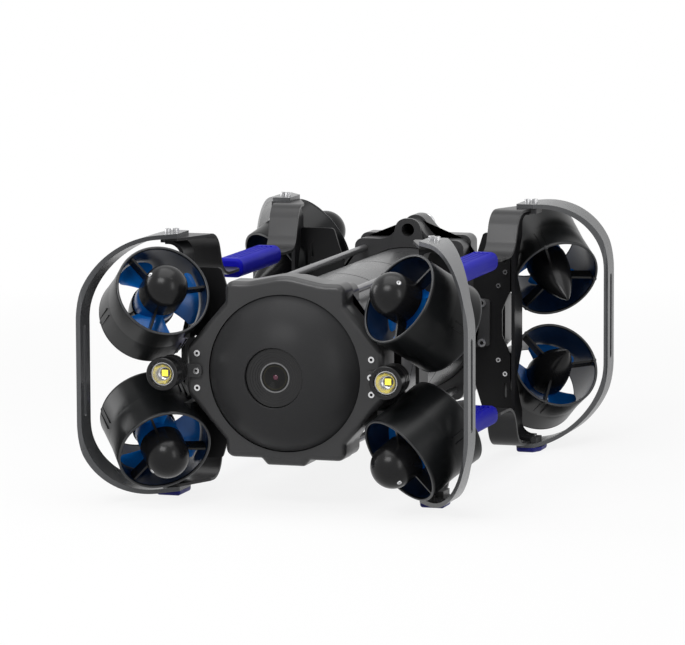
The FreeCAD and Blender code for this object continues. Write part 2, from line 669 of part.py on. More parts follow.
def lens_port():
    return rod(Vector(0, -PORT_FACE_Y, 0), Y_AXIS, PORT_RADIUS, PORT_THICKNESS)


def camera_module():
    """Lens barrel with a stepped mouth in front of a square camera body."""
    front = -PORT_BACK_Y + CAMERA_GAP
    barrel = rod(Vector(0, front, 0), Y_AXIS, LENS_RADIUS, LENS_LENGTH)
    mouth_radius = LENS_RADIUS - LENS_RIM
    mouth = Part.makeCone(mouth_radius, mouth_radius - LENS_MOUTH_TAPER, LENS_MOUTH_DEPTH,
                          Vector(0, front, 0), Y_AXIS)
    half = CAMERA_BODY_SIDE / 2
    corners = [(a * half, b * half, CAMERA_CORNER_RADIUS) for a, b in ((-1, -1), (1, -1), (1, 1), (-1, 1))]
    back = front + LENS_LENGTH
    body = prism(corners, "XZ", back, back + CAMERA_BODY_LENGTH)
    return barrel.fuse(body).cut(mouth)


def electronics_tray():
    """Flat tray on two runners with the control boards on top."""
    half = TRAY_LENGTH / 2
    top = -TRAY_DROP
    edge = TRAY_WIDTH / 2
    tray = Part.makeBox(TRAY_WIDTH, TRAY_LENGTH, TRAY_THICKNESS, Vector(-edge, -half, top))
    reach = math.sqrt(HOUSING_BORE_RADIUS ** 2 - TRAY_DROP ** 2) - TRAY_CLEARANCE
    runner = Part.makeBox(reach - edge, TRAY_LENGTH, TRAY_THICKNESS, Vector(edge, -half, top))
    solid = tray.fuse([runner, mirrored(runner, side_x=-1)])
    pitch = TRAY_LENGTH / BOARD_COUNT
    for index in range(BOARD_COUNT):
        middle = -half + pitch * (index + 0.5)
        corner = Vector(-BOARD_WIDTH / 2, middle - BOARD_LENGTH / 2, top + TRAY_THICKNESS)
        solid = solid.fuse(Part.makeBox(BOARD_WIDTH, BOARD_LENGTH, BOARD_THICKNESS, corner))
    return solid.removeSplitter()


def battery_pack():
    """Two cylindrical battery packs that hang under the tray."""
    start = Vector(BATTERY_PITCH / 2, -BATTERY_LENGTH / 2, -TRAY_DROP - BATTERY_RADIUS)
    pack = rod(start, Y_AXIS, BATTERY_RADIUS, BATTERY_LENGTH)
    return [pack, mirrored(pack, side_x=-1)]


def gland_places():
    angles = [2 * math.pi * (index + 0.5) / GLAND_COUNT for index in range(GLAND_COUNT)]
    return [(GLAND_RING_RADIUS * math.cos(a), GLAND_RING_RADIUS * math.sin(a)) for a in angles]


def rear_end_cap():
    spigot = HOUSING_BORE_RADIUS - SPIGOT_CLEARANCE
    disc = rod(Vector(0, FRAME_FACE_Y, 0), Y_AXIS, CAP_RADIUS, CAP_THICKNESS)
    rim = [e for e in disc.Edges if abs(e.BoundBox.YMin - FRAME_FACE_Y - CAP_THICKNESS) < 1e-4]
    disc = disc.makeChamfer(CAP_EDGE, rim)
    plug = rod(Vector(0, HOUSING_HALF_LENGTH - SPIGOT_LENGTH, 0), Y_AXIS, spigot,
               FRAME_FACE_Y - HOUSING_HALF_LENGTH + SPIGOT_LENGTH)
    cup = rod(Vector(0, HOUSING_HALF_LENGTH - SPIGOT_LENGTH, 0), Y_AXIS, spigot - SPIGOT_WALL,
              FRAME_FACE_Y - HOUSING_HALF_LENGTH + SPIGOT_LENGTH)
    return disc.fuse(plug.cut(cup)).removeSplitter()


def hexagon(radius, centre_x, centre_z, y, height):
    points = [Vector(centre_x + radius * math.cos(math.pi * k / 3), y,
                     centre_z + radius * math.sin(math.pi * k / 3)) for k in range(7)]
    return Part.Face(Part.makePolygon(points)).extrude(Y_AXIS * height)


def rear_penetrators():
    """Thruster cable glands in a ring and the larger tether gland at the centre."""
    y = FRAME_FACE_Y + CAP_THICKNESS
    solids = []
    for x, z in gland_places():
        nut = hexagon(GLAND_RADIUS, x, z, y, GLAND_HEIGHT / 2)
        neck = rod(Vector(x, y + GLAND_HEIGHT / 2, z), Y_AXIS, GLAND_NECK_RADIUS, GLAND_HEIGHT / 2)
        solids.append(nut.fuse(neck))
    nut = hexagon(TETHER_GLAND_RADIUS, 0, 0, y, TETHER_NUT_HEIGHT)
    neck = Part.makeCone(TETHER_NECK_BASE_RADIUS, TETHER_NECK_TOP_RADIUS,
                         TETHER_GLAND_HEIGHT - TETHER_NUT_HEIGHT, Vector(0, y + TETHER_NUT_HEIGHT, 0), Y_AXIS)
    bore = rod(Vector(0, y + TETHER_BORE_FLOOR, 0), Y_AXIS, TETHER_BORE_RADIUS, TETHER_GLAND_HEIGHT)
    solids.append(nut.fuse(neck).cut(bore))
    return solids


# ---- bumper loop, straps, bands and plates (rear right corner) ---------------------------------
def tab_outline(near_y, far_y):
    """Plan of a loop's end and of the diagonal run out to its post."""
    post_x = LOOP_OUTER_X - LOOP_THICKNESS
    return [(TAB_INNER_X, near_y, TAB_CORNER_RADIUS), (TAB_CHAMFER_X, near_y, TAB_CORNER_RADIUS),
            (post_x, LOOP_POST_NEAR_Y, LOOP_PLAN_RADIUS), (LOOP_OUTER_X + PAST, LOOP_POST_NEAR_Y, 0),
            (LOOP_OUTER_X + PAST, LOOP_POST_FAR_Y, 0), (post_x, LOOP_POST_FAR_Y, LOOP_PLAN_RADIUS),
            (TAB_INNER_X, far_y, TAB_CORNER_RADIUS)]


def quarter_ellipse(centre, width, height):
    """Quarter of an ellipse in the XZ plane, from its highest point to its outermost one."""
    wide = width > height
    along, across = (X_AXIS * width, Z_AXIS * height) if wide else (Z_AXIS * height, X_AXIS * width)
    curve = Part.Ellipse(centre + along, centre + across, centre)
    ends = sorted(curve.parameter(centre + reach) for reach in (along, across))
    return Part.ArcOfEllipse(curve, ends[0], ends[1]).toShape()


def loop_profile(inset):
    """Upper half path in XZ of a loop's outer face, or of the face that lies inset inside it."""
    top = LOOP_TOP_Z - inset
    back = LOOP_OUTER_X - inset
    width = LOOP_BEND_WIDTH - inset
    height = LOOP_BEND_HEIGHT - inset
    centre = Vector(back - width, 0, top - height)
    bend = quarter_ellipse(centre, width, height)
    mouth = Vector(TAB_INNER_X - 5 * PAST, 0, top)
    return [Part.LineSegment(mouth, centre + Z_AXIS * height).toShape(), bend,
            Part.LineSegment(centre + X_AXIS * width, Vector(back, 0, 0)).toShape()]


def loop_band(start_y, stop_y):
    """The loop's bent strap before its plan is cut: an elliptic C that opens inboard."""
    solids = []
    for inset in (0.0, LOOP_THICKNESS):
        upper = loop_profile(inset)
        lower = [edge.mirror(ORIGIN, Z_AXIS) for edge in upper]
        mouth = upper[0].Vertexes[0].Point
        closing = Part.LineSegment(mouth, Vector(mouth.x, 0, -mouth.z)).toShape()
        wire = Part.Wire(Part.__sortEdges__(upper + lower + [closing]))
        solids.append(Part.Face(wire).extrude(Y_AXIS * (stop_y - start_y)).translated(Y_AXIS * start_y))
    return solids[0].cut(solids[1])


def bent_band(web_x, top_z, thickness, bend_radius, end_x, start_y, stop_y):
    """Flat web with a flange at each end that runs outboard to end_x."""
    outer = above_and_below([(end_x, top_z, 0), (web_x, top_z, bend_radius)])
    inner = above_and_below([(end_x + PAST, top_z - thickness, 0),
                             (web_x + thickness, top_z - thickness, bend_radius - thickness)])
    return prism(outer, "XZ", start_y, stop_y).cut(prism(inner, "XZ", start_y, stop_y))


def tab_screw_seats(z):
    return [Vector(x, y, z) for x, y in TAB_SCREWS]


def tab_bores(bottom_z):
    """Screw holes through the stack at a tab, above and below."""
    upper = [screw_bore(seat, Z_AXIS, CAP_SHANK_RADIUS, LOOP_TOP_Z - bottom_z)
             for seat in tab_screw_seats(LOOP_TOP_Z)]
    return upper + [mirrored(bore, side_z=-1) for bore in upper]


def bumper_loop():
    """Diagonal C-shaped loop of flat bar with a slot in its upright and a screwed tab at each end."""
    band = loop_band(TAB_NEAR_Y - PAST, LOOP_POST_FAR_Y + PAST)
    plan = prism(tab_outline(TAB_NEAR_Y, TAB_FAR_Y), "XY", -LOOP_TOP_Z - PAST, LOOP_TOP_Z + PAST)
    loop = band.common(plan)
    middle = (LOOP_POST_NEAR_Y + LOOP_POST_FAR_Y) / 2
    slot = slotted((middle, 0), "YZ", LOOP_OUTER_X - LOOP_THICKNESS - PAST, LOOP_SLOT_HALF_LENGTH,
                   LOOP_SLOT_WIDTH, LOOP_THICKNESS + 2 * PAST)
    return loop.cut(Part.makeCompound([slot] + tab_bores(LOOP_UNDERSIDE_Z - PAST)))


def tab_block(loop):
    """Small spacer block under a loop's tab, outboard of the strap's end. It clears the duct."""
    corners = [(TAB_BLOCK_X, TAB_BLOCK_START_Y, 0), (TAB_BLOCK_X + TAB_BLOCK_WIDTH, TAB_BLOCK_START_Y, 0),
               (TAB_BLOCK_X + TAB_BLOCK_WIDTH, TAB_BLOCK_END_Y, 0), (TAB_BLOCK_X, TAB_BLOCK_END_Y, 0)]
    block = prism(corners, "XY", LOOP_UNDERSIDE_Z - TAB_BLOCK_HEIGHT, LOOP_UNDERSIDE_Z)
    tools = [loop, duct_envelope(BAND_DUCT_CLEARANCE)]
    return cut_all(block, tools + tab_bores(LOOP_UNDERSIDE_Z - TAB_BLOCK_HEIGHT - PAST))


def grip_strap():
    """Bent flat strap from the front tab through the grip to the rear tab, right side, upper level."""
    top = LOOP_UNDERSIDE_Z
    low = STRAP_GRIP_Z + STRAP_THICKNESS / 2
    end = TAB_FAR_Y
    upper = [(end, top, 0), (STRAP_SLOPE_TOP_Y, top, STRAP_BEND_RADIUS + STRAP_THICKNESS),
             (STRAP_SLOPE_FOOT_Y, low, STRAP_BEND_RADIUS)]
    lean = math.atan2(top - low, STRAP_SLOPE_TOP_Y - STRAP_SLOPE_FOOT_Y)
    shift = STRAP_THICKNESS * math.tan(lean / 2)
    under = [(STRAP_SLOPE_FOOT_Y + shift, low - STRAP_THICKNESS, STRAP_BEND_RADIUS + STRAP_THICKNESS),
             (STRAP_SLOPE_TOP_Y + shift, top - STRAP_THICKNESS, STRAP_BEND_RADIUS),
             (end, top - STRAP_THICKNESS, 0)]
    half = upper + [(-y, z, r) for y, z, r in reversed(upper)]
    half += [(-y, z, r) for y, z, r in reversed(under)] + under
    band = prism(half, "YZ", STRAP_FOOT_INNER_X - PAST, BAND_FLANGE_END_X + PAST)
    core_inner = STRAP_FOOT_INNER_X + STRAP_CORE_MARGIN
    core_outer = STRAP_FOOT_OUTER_X - STRAP_CORE_MARGIN
    core_end = GRIP_HALF_LENGTH + STRAP_CORE_END_GAP
    wide = GRIP_HALF_LENGTH + STRAP_WIDENING
    quarter = [(core_inner, core_end, 0), (STRAP_FOOT_INNER_X, wide, STRAP_CORNER_RADIUS),
               (STRAP_FOOT_INNER_X, STRAP_TAPER_FOOT_Y, STRAP_PLAN_RADIUS),
               (STRAP_TOP_INNER_X, STRAP_TAPER_TOP_Y, STRAP_PLAN_RADIUS),
               (TAB_INNER_X, TAB_FAR_Y, TAB_CORNER_RADIUS),
               (BAND_FLANGE_END_X, TAB_FAR_Y, TAB_CORNER_RADIUS),
               (BAND_FLANGE_END_X, TAB_NEAR_Y, STRAP_CORNER_RADIUS),
               (STRAP_FOOT_OUTER_X, STRAP_TAPER_FOOT_Y, STRAP_PLAN_RADIUS),
               (STRAP_FOOT_OUTER_X, wide, STRAP_CORNER_RADIUS), (core_outer, core_end, 0)]
    plan = prism(quarter + [(x, -y, r) for x, y, r in reversed(quarter)], "XY", 0, LOOP_TOP_Z)
    strap = band.common(plan)
    bores = tab_bores(STRAP_UNDERSIDE_Z - PAST)
    return cut_all(strap, bores + [mirrored(bore, side_y=-1) for bore in bores])


def grip():
    """Ribbed moulded grip round the strap's straight middle, right side, upper level."""
    inner = STRAP_FOOT_INNER_X
    outer = STRAP_FOOT_OUTER_X
    low = STRAP_GRIP_Z - GRIP_HEIGHT / 2
    high = STRAP_GRIP_Z + GRIP_HEIGHT / 2
    r = GRIP_CORNER_RADIUS
    body = prism([(inner, low, r), (outer, low, r), (outer, high, r), (inner, high, r)], "XZ",
                 -GRIP_HALF_LENGTH, GRIP_HALF_LENGTH)
    ends = [e for e in body.Edges if abs(e.BoundBox.YMax - e.BoundBox.YMin) < 1e-4]
    body = body.makeFillet(GRIP_END_RADIUS, ends)
    pitch = (outer - inner - 2 * r) / (GRIP_RIB_COUNT - 1)
    grooves = []
    for index in range(GRIP_RIB_COUNT):
        x = inner + r + index * pitch
        for z in (high + GRIP_RIB_RISE, low - GRIP_RIB_RISE):
            grooves.append(rod(Vector(x, -GRIP_HALF_LENGTH + GRIP_RIB_SETBACK, z), Y_AXIS, GRIP_RIB_RADIUS,
                               2 * (GRIP_HALF_LENGTH - GRIP_RIB_SETBACK)))
    core = Part.makeBox(outer - inner - 2 * STRAP_CORE_MARGIN + 2 * GRIP_CORE_CLEARANCE,
                        2 * GRIP_HALF_LENGTH, STRAP_THICKNESS + 2 * GRIP_CORE_CLEARANCE,
                        Vector(inner + STRAP_CORE_MARGIN - GRIP_CORE_CLEARANCE, -GRIP_HALF_LENGTH,
                               STRAP_GRIP_Z - STRAP_THICKNESS / 2 - GRIP_CORE_CLEARANCE))
    return body.cut(Part.makeCompound(grooves + [core]))


def duct_envelope(extra, low_s=DUCT_TAIL_S, high_s=-DUCT_SETBACK):
    """Upper rear right duct as a plain cylinder with some clearance round and past it."""
    cylinder = rod(Vector(0, 0, low_s - extra), Z_AXIS, DUCT_RADIUS + extra, high_s - low_s + 2 * extra)
    return thruster_placed(cylinder)


def inner_band():
    """C-shaped band under the tabs. It clears both ducts and is open at mid-height."""
    band = bent_band(BAND_WEB_X, STRAP_UNDERSIDE_Z, BAND_THICKNESS, BAND_BEND_RADIUS, BAND_FLANGE_END_X,
                     TAB_NEAR_Y, TAB_FAR_Y - BAND_TAB_SETBACK)
    duct = duct_envelope(BAND_DUCT_CLEARANCE)
    tools = [duct, mirrored(duct, side_z=-1)] + tab_bores(BAND_UNDERSIDE_Z - PAST)
    return cut_all(band, tools)


def plate_outline():
    """Upper half outline of a corner plate in XZ, from its waist up and round to the inner edge."""
    small = PLATE_NOTCH_RADIUS
    large = PLATE_CORNER_RADIUS
    return above_and_below([
        (PLATE_INNER_X, PLATE_FOOT_Z, small), (PLATE_INNER_X, PLATE_SHOULDER_Z, large),
        (PLATE_INNER_X + PLATE_SLOPE_RUN, PLATE_HALF_HEIGHT, large), (BAND_WEB_X, PLATE_HALF_HEIGHT, small),
        (BAND_WEB_X, PLATE_NOTCH_TOP_Z, small), (PLATE_WAIST_X, PLATE_NOTCH_Z, small),
        (PLATE_WAIST_X, PLATE_WAIST_Z, large), (PLATE_NECK_X, PLATE_NECK_Z, large)])


def duct_screw_seats():
    """Two screws hold each duct foot to the near face of the corner plate."""
    rise = (DUCT_FOOT_Z1 - DUCT_FOOT_Z0) / 4
    middle = (DUCT_FOOT_Z0 + DUCT_FOOT_Z1) / 2
    return [Vector(DUCT_FOOT_X0 + DUCT_SCREW_INNER_INSET, PLATE_NEAR_Y, middle - rise),
            Vector(DUCT_FOOT_X1 - DUCT_SCREW_OUTER_INSET, PLATE_NEAR_Y, middle + rise)]


def corner_plate():
    """Flat plate behind the end frame's ear that carries both ducts of its corner."""
    plate = prism(plate_outline(), "XZ", PLATE_NEAR_Y, FRAME_INNER_Y)
    through = PLATE_THICKNESS + 2 * PAST
    round_hull = HOUSING_RADIUS + PLATE_HOUSING_CLEARANCE
    tools = [rod(Vector(0, PLATE_NEAR_Y - PAST, 0), Y_AXIS, round_hull, through)]
    for side in (1, -1):
        tools.append(slotted((PLATE_SLOT_X, side * PLATE_SLOT_Z), "XZ", PLATE_NEAR_Y - PAST,
                             PLATE_SLOT_LENGTH / 2, PLATE_SLOT_WIDTH, through))
        tools += [mirrored(screw_bore(seat, -Y_AXIS, SMALL_SHANK_RADIUS, PLATE_THICKNESS + PAST), side_z=side)
                  for seat in duct_screw_seats()]
    tools += [screw_bore(seat, -Y_AXIS, CAP_SHANK_RADIUS, CLAMP_THICKNESS + PLATE_THICKNESS + PAST)
              for seat in clamp_screw_seats() if seat.x > 0]
    return cut_all(plate, tools)


def plate_clamp():
    """Grey clamp pad that holds the corner plate to the end frame's ear."""
    half = CLAMP_HALF_HEIGHT
    y = PLATE_NEAR_Y - CLAMP_THICKNESS
    outline = above_and_below([(EAR_STEP_HALF_WIDTH - CLAMP_WIDTH, half, CLAMP_CORNER),
                               (EAR_STEP_HALF_WIDTH, half - CLAMP_CORNER, CLAMP_CORNER)])
    pad = prism(outline, "XZ", y, PLATE_NEAR_Y)
    tools = [rod(Vector(0, y - PAST, 0), Y_AXIS, HOUSING_RADIUS + PLATE_HOUSING_CLEARANCE,
                 CLAMP_THICKNESS + 2 * PAST)]
    tools += [screw_bore(seat, -Y_AXIS, CAP_SHANK_RADIUS, CLAMP_THICKNESS + PAST)
              for seat in clamp_screw_seats() if seat.x > 0]
    return cut_all(pad, tools)


def foot_pad():
    """Soft pad under a loop's lower tab."""
    wide_x = TAB_CHAMFER_X + FOOT_STEP_X
    points = [(TAB_INNER_X, TAB_NEAR_Y), (TAB_CHAMFER_X, TAB_NEAR_Y), (wide_x, TAB_NEAR_Y + FOOT_STEP_Y),
              (wide_x, TAB_FAR_Y), (TAB_INNER_X, TAB_FAR_Y)]
    outline = [(x, y, FOOT_CORNER_RADIUS) for x, y in points]
    bottom = -LOOP_TOP_Z - FOOT_THICKNESS
    pad = prism(outline, "XY", bottom, -LOOP_TOP_Z)
    rim = [e for e in pad.Edges if abs(e.BoundBox.ZMax - bottom) < 1e-4]
    pad = pad.makeFillet(FOOT_EDGE_RADIUS, rim)
    deep = CAP_HEAD_HEIGHT + FOOT_HEAD_CLEARANCE
    pockets = [rod(seat - Z_AXIS * deep, Z_AXIS, CAP_HEAD_RADIUS + FOOT_HEAD_CLEARANCE, deep)
               for seat in tab_screw_seats(-LOOP_TOP_Z)]
    return cut_all(pad, pockets)


# ---- thrusters --------------------------------------------------------------------------------
def thruster_axis():
    yaw = math.radians(THRUSTER_YAW)
    pitch = math.radians(THRUSTER_PITCH)
    return Vector(-math.cos(pitch) * math.sin(yaw), math.cos(pitch) * math.cos(yaw), math.sin(pitch))


def thruster_placed(shape):
    """Move a shape built along +Z about the nose centre to the upper rear right thruster."""
    axis = thruster_axis()
    level = Z_AXIS.cross(axis)
    level.normalize()
    turn = FreeCAD.Rotation(level, axis.cross(level), axis, "ZXY")
    placed = shape.copy()
    placed.Placement = FreeCAD.Placement(Vector(NOSE_X, NOSE_Y, NOSE_Z), turn).multiply(shape.Placement)
    return placed


def duct_shell():
    """Thin duct with a rounded front lip and a slightly flared tail."""
    front = -DUCT_SETBACK
    tail = DUCT_TAIL_S
    outer = DUCT_RADIUS
    bore = DUCT_BORE_RADIUS
    middle = (front + tail) / 2
    return turned([
        (bore + DUCT_LIP, front), (outer - DUCT_LIP / 2, front), (outer, front - DUCT_LIP_RUN),
        (outer - DUCT_WAIST, middle), (outer, tail + DUCT_LIP_RUN), (outer - DUCT_LIP / 2, tail),
        (bore + DUCT_LIP, tail), (bore, tail + DUCT_BORE_LEAD), (bore, front - DUCT_BORE_LEAD)])


def struts(start_angle, top_s, root_radius):
    """Thin radial vanes from the pod to the duct's bore."""
    blades = []
    for index in range(STRUT_COUNT):
        reach = DUCT_BORE_RADIUS - STRUT_TIP_GAP - root_radius
        vane = Part.makeBox(reach, STRUT_THICKNESS, STRUT_CHORD,
                            Vector(root_radius, -STRUT_THICKNESS / 2, top_s - STRUT_CHORD))
        vane.rotate(ORIGIN, Z_AXIS, start_angle + index * 360 / STRUT_COUNT)
        blades.append(vane)
    return blades


def duct_ribs(start_angle, top_s, length):
    """Pairs of fine raised ribs on the duct that lead to each strut's screw."""
    ribs = []
    for index in range(STRUT_COUNT):
        for side in (-1, 1):
            rib = Part.makeBox(RIB_HEIGHT + RIB_ROOT, RIB_WIDTH, length,
                               Vector(DUCT_RADIUS - DUCT_WAIST - RIB_ROOT / 2,
                                      side * RIB_SPREAD - RIB_WIDTH / 2, top_s - length))
            rib.rotate(ORIGIN, Z_AXIS, start_angle + index * 360 / STRUT_COUNT)
            ribs.append(rib)
    return ribs


def duct_foot():
    """Moulded foot between the duct and the corner plate, in its final place."""
    y_end = NOSE_Y - DUCT_FOOT_SETBACK
    block = Part.makeBox(DUCT_FOOT_X1 - DUCT_FOOT_X0, y_end - FRAME_INNER_Y, DUCT_FOOT_Z1 - DUCT_FOOT_Z0,
                         Vector(DUCT_FOOT_X0, FRAME_INNER_Y, DUCT_FOOT_Z0))
    ear_cutter = prism(frame_outline(hump(front=True), EAR_HALF_WIDTH + DUCT_FOOT_EAR_GAP), "XZ",
                       EAR_INNER_Y - DUCT_FOOT_EAR_GAP, FRAME_FACE_Y + EAR_DEPTH)
    hollow = thruster_placed(rod(Z_AXIS * 3 * DUCT_TAIL_S, Z_AXIS, DUCT_RADIUS - DUCT_FOOT_SINK,
                                 -6 * DUCT_TAIL_S))
    block = block.cut(hollow).cut(ear_cutter)
    near = min(block.Solids, key=lambda s: s.BoundBox.YMin)
    bores = [screw_bore(seat, -Y_AXIS, SMALL_SHANK_RADIUS, DUCT_SCREW_LENGTH + SCREW_BOTTOM_GAP)
             for seat in duct_screw_seats()]
    return cut_all(near, bores)


def thruster_duct():
    ribs = duct_ribs(TAIL_STRUT_ANGLE, DUCT_TAIL_S + RIB_SETBACK + RIB_LENGTH, RIB_LENGTH)
    bore = rod(Z_AXIS * (DUCT_TAIL_S - PAST), Z_AXIS, DUCT_BORE_RADIUS, DUCT_LENGTH + 2 * PAST)
    shell = thruster_placed(duct_shell().fuse([rib.cut(bore) for rib in ribs]))
    return shell.fuse(duct_foot()).removeSplitter()


def tail_profile():
    """Arc from the tail's base to its blunt tip, in the XZ plane of the thruster's own axes."""
    base = Vector(TAIL_BASE_RADIUS, 0, TAIL_BASE_S)
    tip = Vector(TAIL_TIP_RADIUS, 0, TAIL_BASE_S - TAIL_LENGTH)
    lean = math.radians(TAIL_BASE_LEAN)
    return arc_from(base, Vector(-math.sin(lean), 0, -math.cos(lean)), tip)


def tail_cone():
    """Pointed tail fairing behind the propeller."""
    foot = Vector(0, 0, TAIL_BASE_S - TAIL_LENGTH)
    base = Vector(0, 0, TAIL_BASE_S)
    edges = [tail_profile(), Part.LineSegment(Vector(TAIL_TIP_RADIUS, 0, foot.z), foot).toShape(),
             Part.LineSegment(foot, base).toShape(),
             Part.LineSegment(base, Vector(TAIL_BASE_RADIUS, 0, base.z)).toShape()]
    return Part.Face(Part.Wire(Part.__sortEdges__(edges))).revolve(ORIGIN, Z_AXIS, 360)


def thruster_pod():
    """Fixed pod: round nose with the motor, the shaft through the hub, the pointed tail and its vanes."""
    ball = Part.makeSphere(NOSE_RADIUS)
    body = rod(Vector(0, 0, -NOSE_BODY_LENGTH), Z_AXIS, NOSE_RADIUS, NOSE_BODY_LENGTH)
    shaft = rod(Vector(0, 0, TAIL_BASE_S - PAST), Z_AXIS, SHAFT_RADIUS, HUB_LENGTH + 2 * (HUB_GAP + PAST))
    cap = ball.common(rod(ORIGIN, Z_AXIS, 2 * NOSE_RADIUS, 2 * NOSE_RADIUS))
    vanes = struts(FRONT_STRUT_ANGLE, -DUCT_SETBACK - STRUT_INSET, NOSE_RADIUS - STRUT_ROOT_DEPTH)
    vanes += struts(TAIL_STRUT_ANGLE, DUCT_TAIL_S + STRUT_INSET + STRUT_CHORD, TAIL_STRUT_ROOT)
    pod = body.fuse([cap, shaft, tail_cone()] + vanes).removeSplitter()
    return thruster_placed(pod.cut(duct_shell()))


def blade_edge(radius, arc):
    """Helical edge of a blade at one radius, as a curve through points on the cylinder."""
    half = math.radians(arc) / 2
    middle_s = (HUB_TOP_S + HUB_FOOT_S - BLADE_THICKNESS) / 2
    curve = Part.BSplineCurve()
    parts = [-1, -0.5, 0, 0.5, 1]
    curve.interpolate([Vector(radius * math.cos(half * p), radius * math.sin(half * p),
                              middle_s + BLADE_AXIAL_SPAN / 2 * p) for p in parts])
    return curve.toShape()


def blade():
    """Wide screw blade: a helical surface from the hub to the tip, given its thickness along the axis."""
    root = blade_edge(HUB_RADIUS - BLADE_ROOT_DEPTH, BLADE_ROOT_ARC)
    tip = blade_edge(BLADE_TIP_RADIUS, BLADE_TIP_ARC)
    return Part.makeRuledSurface(root, tip).extrude(Z_AXIS * BLADE_THICKNESS)


def propeller():
    """Wide three-blade propeller on a drum hub with a bore for the shaft."""
    hub = rod(Vector(0, 0, HUB_FOOT_S), Z_AXIS, HUB_RADIUS, HUB_LENGTH)
    blades = []
    for index in range(BLADE_COUNT):
        copy = blade()
        copy.rotate(ORIGIN, Z_AXIS, index * 360 / BLADE_COUNT)
        blades.append(copy)
    bore = rod(Vector(0, 0, HUB_FOOT_S - PAST), Z_AXIS, SHAFT_RADIUS + SHAFT_CLEARANCE,
               HUB_LENGTH + 2 * PAST)
    return thruster_placed(hub.fuse(blades).cut(bore))


# ---- lights -----------------------------------------------------------------------------------
def light_body():
    """Finned light canister with a wider bezel and an open mouth, right side, pointing to -Y."""
    back = -LIGHT_BACK_Y
    front = -LIGHT_FRONT_Y
    centre = Vector(LIGHT_X, 0, 0)
    body = rod(centre + Y_AXIS * (front + BEZEL_LENGTH), Y_AXIS, LIGHT_RADIUS, LIGHT_LENGTH - BEZEL_LENGTH)
    bezel = rod(centre + Y_AXIS * front, Y_AXIS, BEZEL_RADIUS, BEZEL_LENGTH)
    bezel = bezel.makeChamfer(BEZEL_EDGE, [e for e in bezel.Edges if abs(e.BoundBox.YMax - front) < 1e-4])
    tools = [rod(centre + Y_AXIS * front, Y_AXIS, LIGHT_MOUTH_RADIUS, LIGHT_MOUTH_DEPTH)]
    for index in range(LIGHT_GROOVE_COUNT):
        at = centre + Y_AXIS * (back - LIGHT_GROOVE_START - index * LIGHT_GROOVE_PITCH)
        ring = rod(at, Y_AXIS, LIGHT_RADIUS + PAST, LIGHT_GROOVE_WIDTH)
        tools.append(ring.cut(rod(at, Y_AXIS, LIGHT_RADIUS - LIGHT_GROOVE_DEPTH, LIGHT_GROOVE_WIDTH)))
    return cut_all(body.fuse(bezel), tools)


def light_lens():
    front = -LIGHT_FRONT_Y + LIGHT_LENS_RECESS
    return rod(Vector(LIGHT_X, front, 0), Y_AXIS, LIGHT_MOUTH_RADIUS, LIGHT_LENS_THICKNESS)


def light_reflector():
    """Reflector cup with the square emitter on its floor."""
    front = -LIGHT_FRONT_Y + LIGHT_LENS_RECESS + LIGHT_LENS_THICKNESS
    depth = LIGHT_MOUTH_DEPTH - LIGHT_LENS_RECESS - LIGHT_LENS_THICKNESS
    cup = rod(Vector(LIGHT_X, front, 0), Y_AXIS, LIGHT_MOUTH_RADIUS, depth)
    cup_depth = depth - REFLECTOR_FLOOR
    hollow = Part.makeCone(LIGHT_MOUTH_RADIUS - REFLECTOR_RIM, REFLECTOR_FLOOR_RADIUS, cup_depth,
                           Vector(LIGHT_X, front, 0), Y_AXIS)
    emitter = Part.makeBox(LED_SIDE, LED_HEIGHT, LED_SIDE,
                           Vector(LIGHT_X - LED_SIDE / 2, front + cup_depth - LED_HEIGHT, -LED_SIDE / 2))
    return cup.cut(hollow).fuse(emitter).removeSplitter()


def light_bracket():
    """Flat bracket from the ear's middle screw out behind the light."""
    half = BRACKET_HALF_HEIGHT
    outline = above_and_below([(BRACKET_INNER_X, half - BRACKET_TAPER, BRACKET_INNER_RADIUS),
                               (BRACKET_OUTER_X, half, BRACKET_OUTER_RADIUS)])
    plate = prism(outline, "XZ", -LIGHT_BACK_Y, -FRAME_FACE_Y)
    hole = screw_bore(Vector(EAR_SCREW_X, -LIGHT_BACK_Y, 0), -Y_AXIS, CAP_SHANK_RADIUS,
                      BRACKET_THICKNESS + PAST)
    return plate.cut(hole)


# ---- screws -----------------------------------------------------------------------------------
def corner_screws():
    """Tab, duct and clamp screws of the rear right corner."""
    grip_length = LOOP_TOP_Z - BAND_UNDERSIDE_Z
    tab = [screw(seat, Z_AXIS, CAP_HEAD_RADIUS, CAP_HEAD_HEIGHT, CAP_SHANK_RADIUS, grip_length)
           for seat in tab_screw_seats(LOOP_TOP_Z)]
    duct = [screw(seat, -Y_AXIS, SMALL_HEAD_RADIUS, SMALL_HEAD_HEIGHT, SMALL_SHANK_RADIUS, DUCT_SCREW_LENGTH)
            for seat in duct_screw_seats()]
    upper = tab + duct
    clamp = [screw(seat, -Y_AXIS, BUTTON_HEAD_RADIUS, BUTTON_HEAD_HEIGHT, CAP_SHANK_RADIUS,
                   CLAMP_THICKNESS + PLATE_THICKNESS + EAR_SCREW_LENGTH - SCREW_BOTTOM_GAP)
             for seat in clamp_screw_seats() if seat.x > 0]
    return upper + [mirrored(s, side_z=-1) for s in upper] + clamp


def screws():
    found = []
    for side_x, side_y in CORNERS.values():
        found += [mirrored(s, side_x, side_y) for s in corner_screws()]
    for side_y in (1, -1):
        for seat in ear_screw_seats():
            on_bracket = side_y < 0 and seat.z == 0
            lift = BRACKET_THICKNESS if on_bracket else 0.0
            head = screw(seat + Y_AXIS * lift, Y_AXIS, CAP_HEAD_RADIUS, CAP_HEAD_HEIGHT / 2, CAP_SHANK_RADIUS,
                         EAR_SCREW_LENGTH - SCREW_BOTTOM_GAP)
            found.append(mirrored(head, side_y=side_y))
    return found


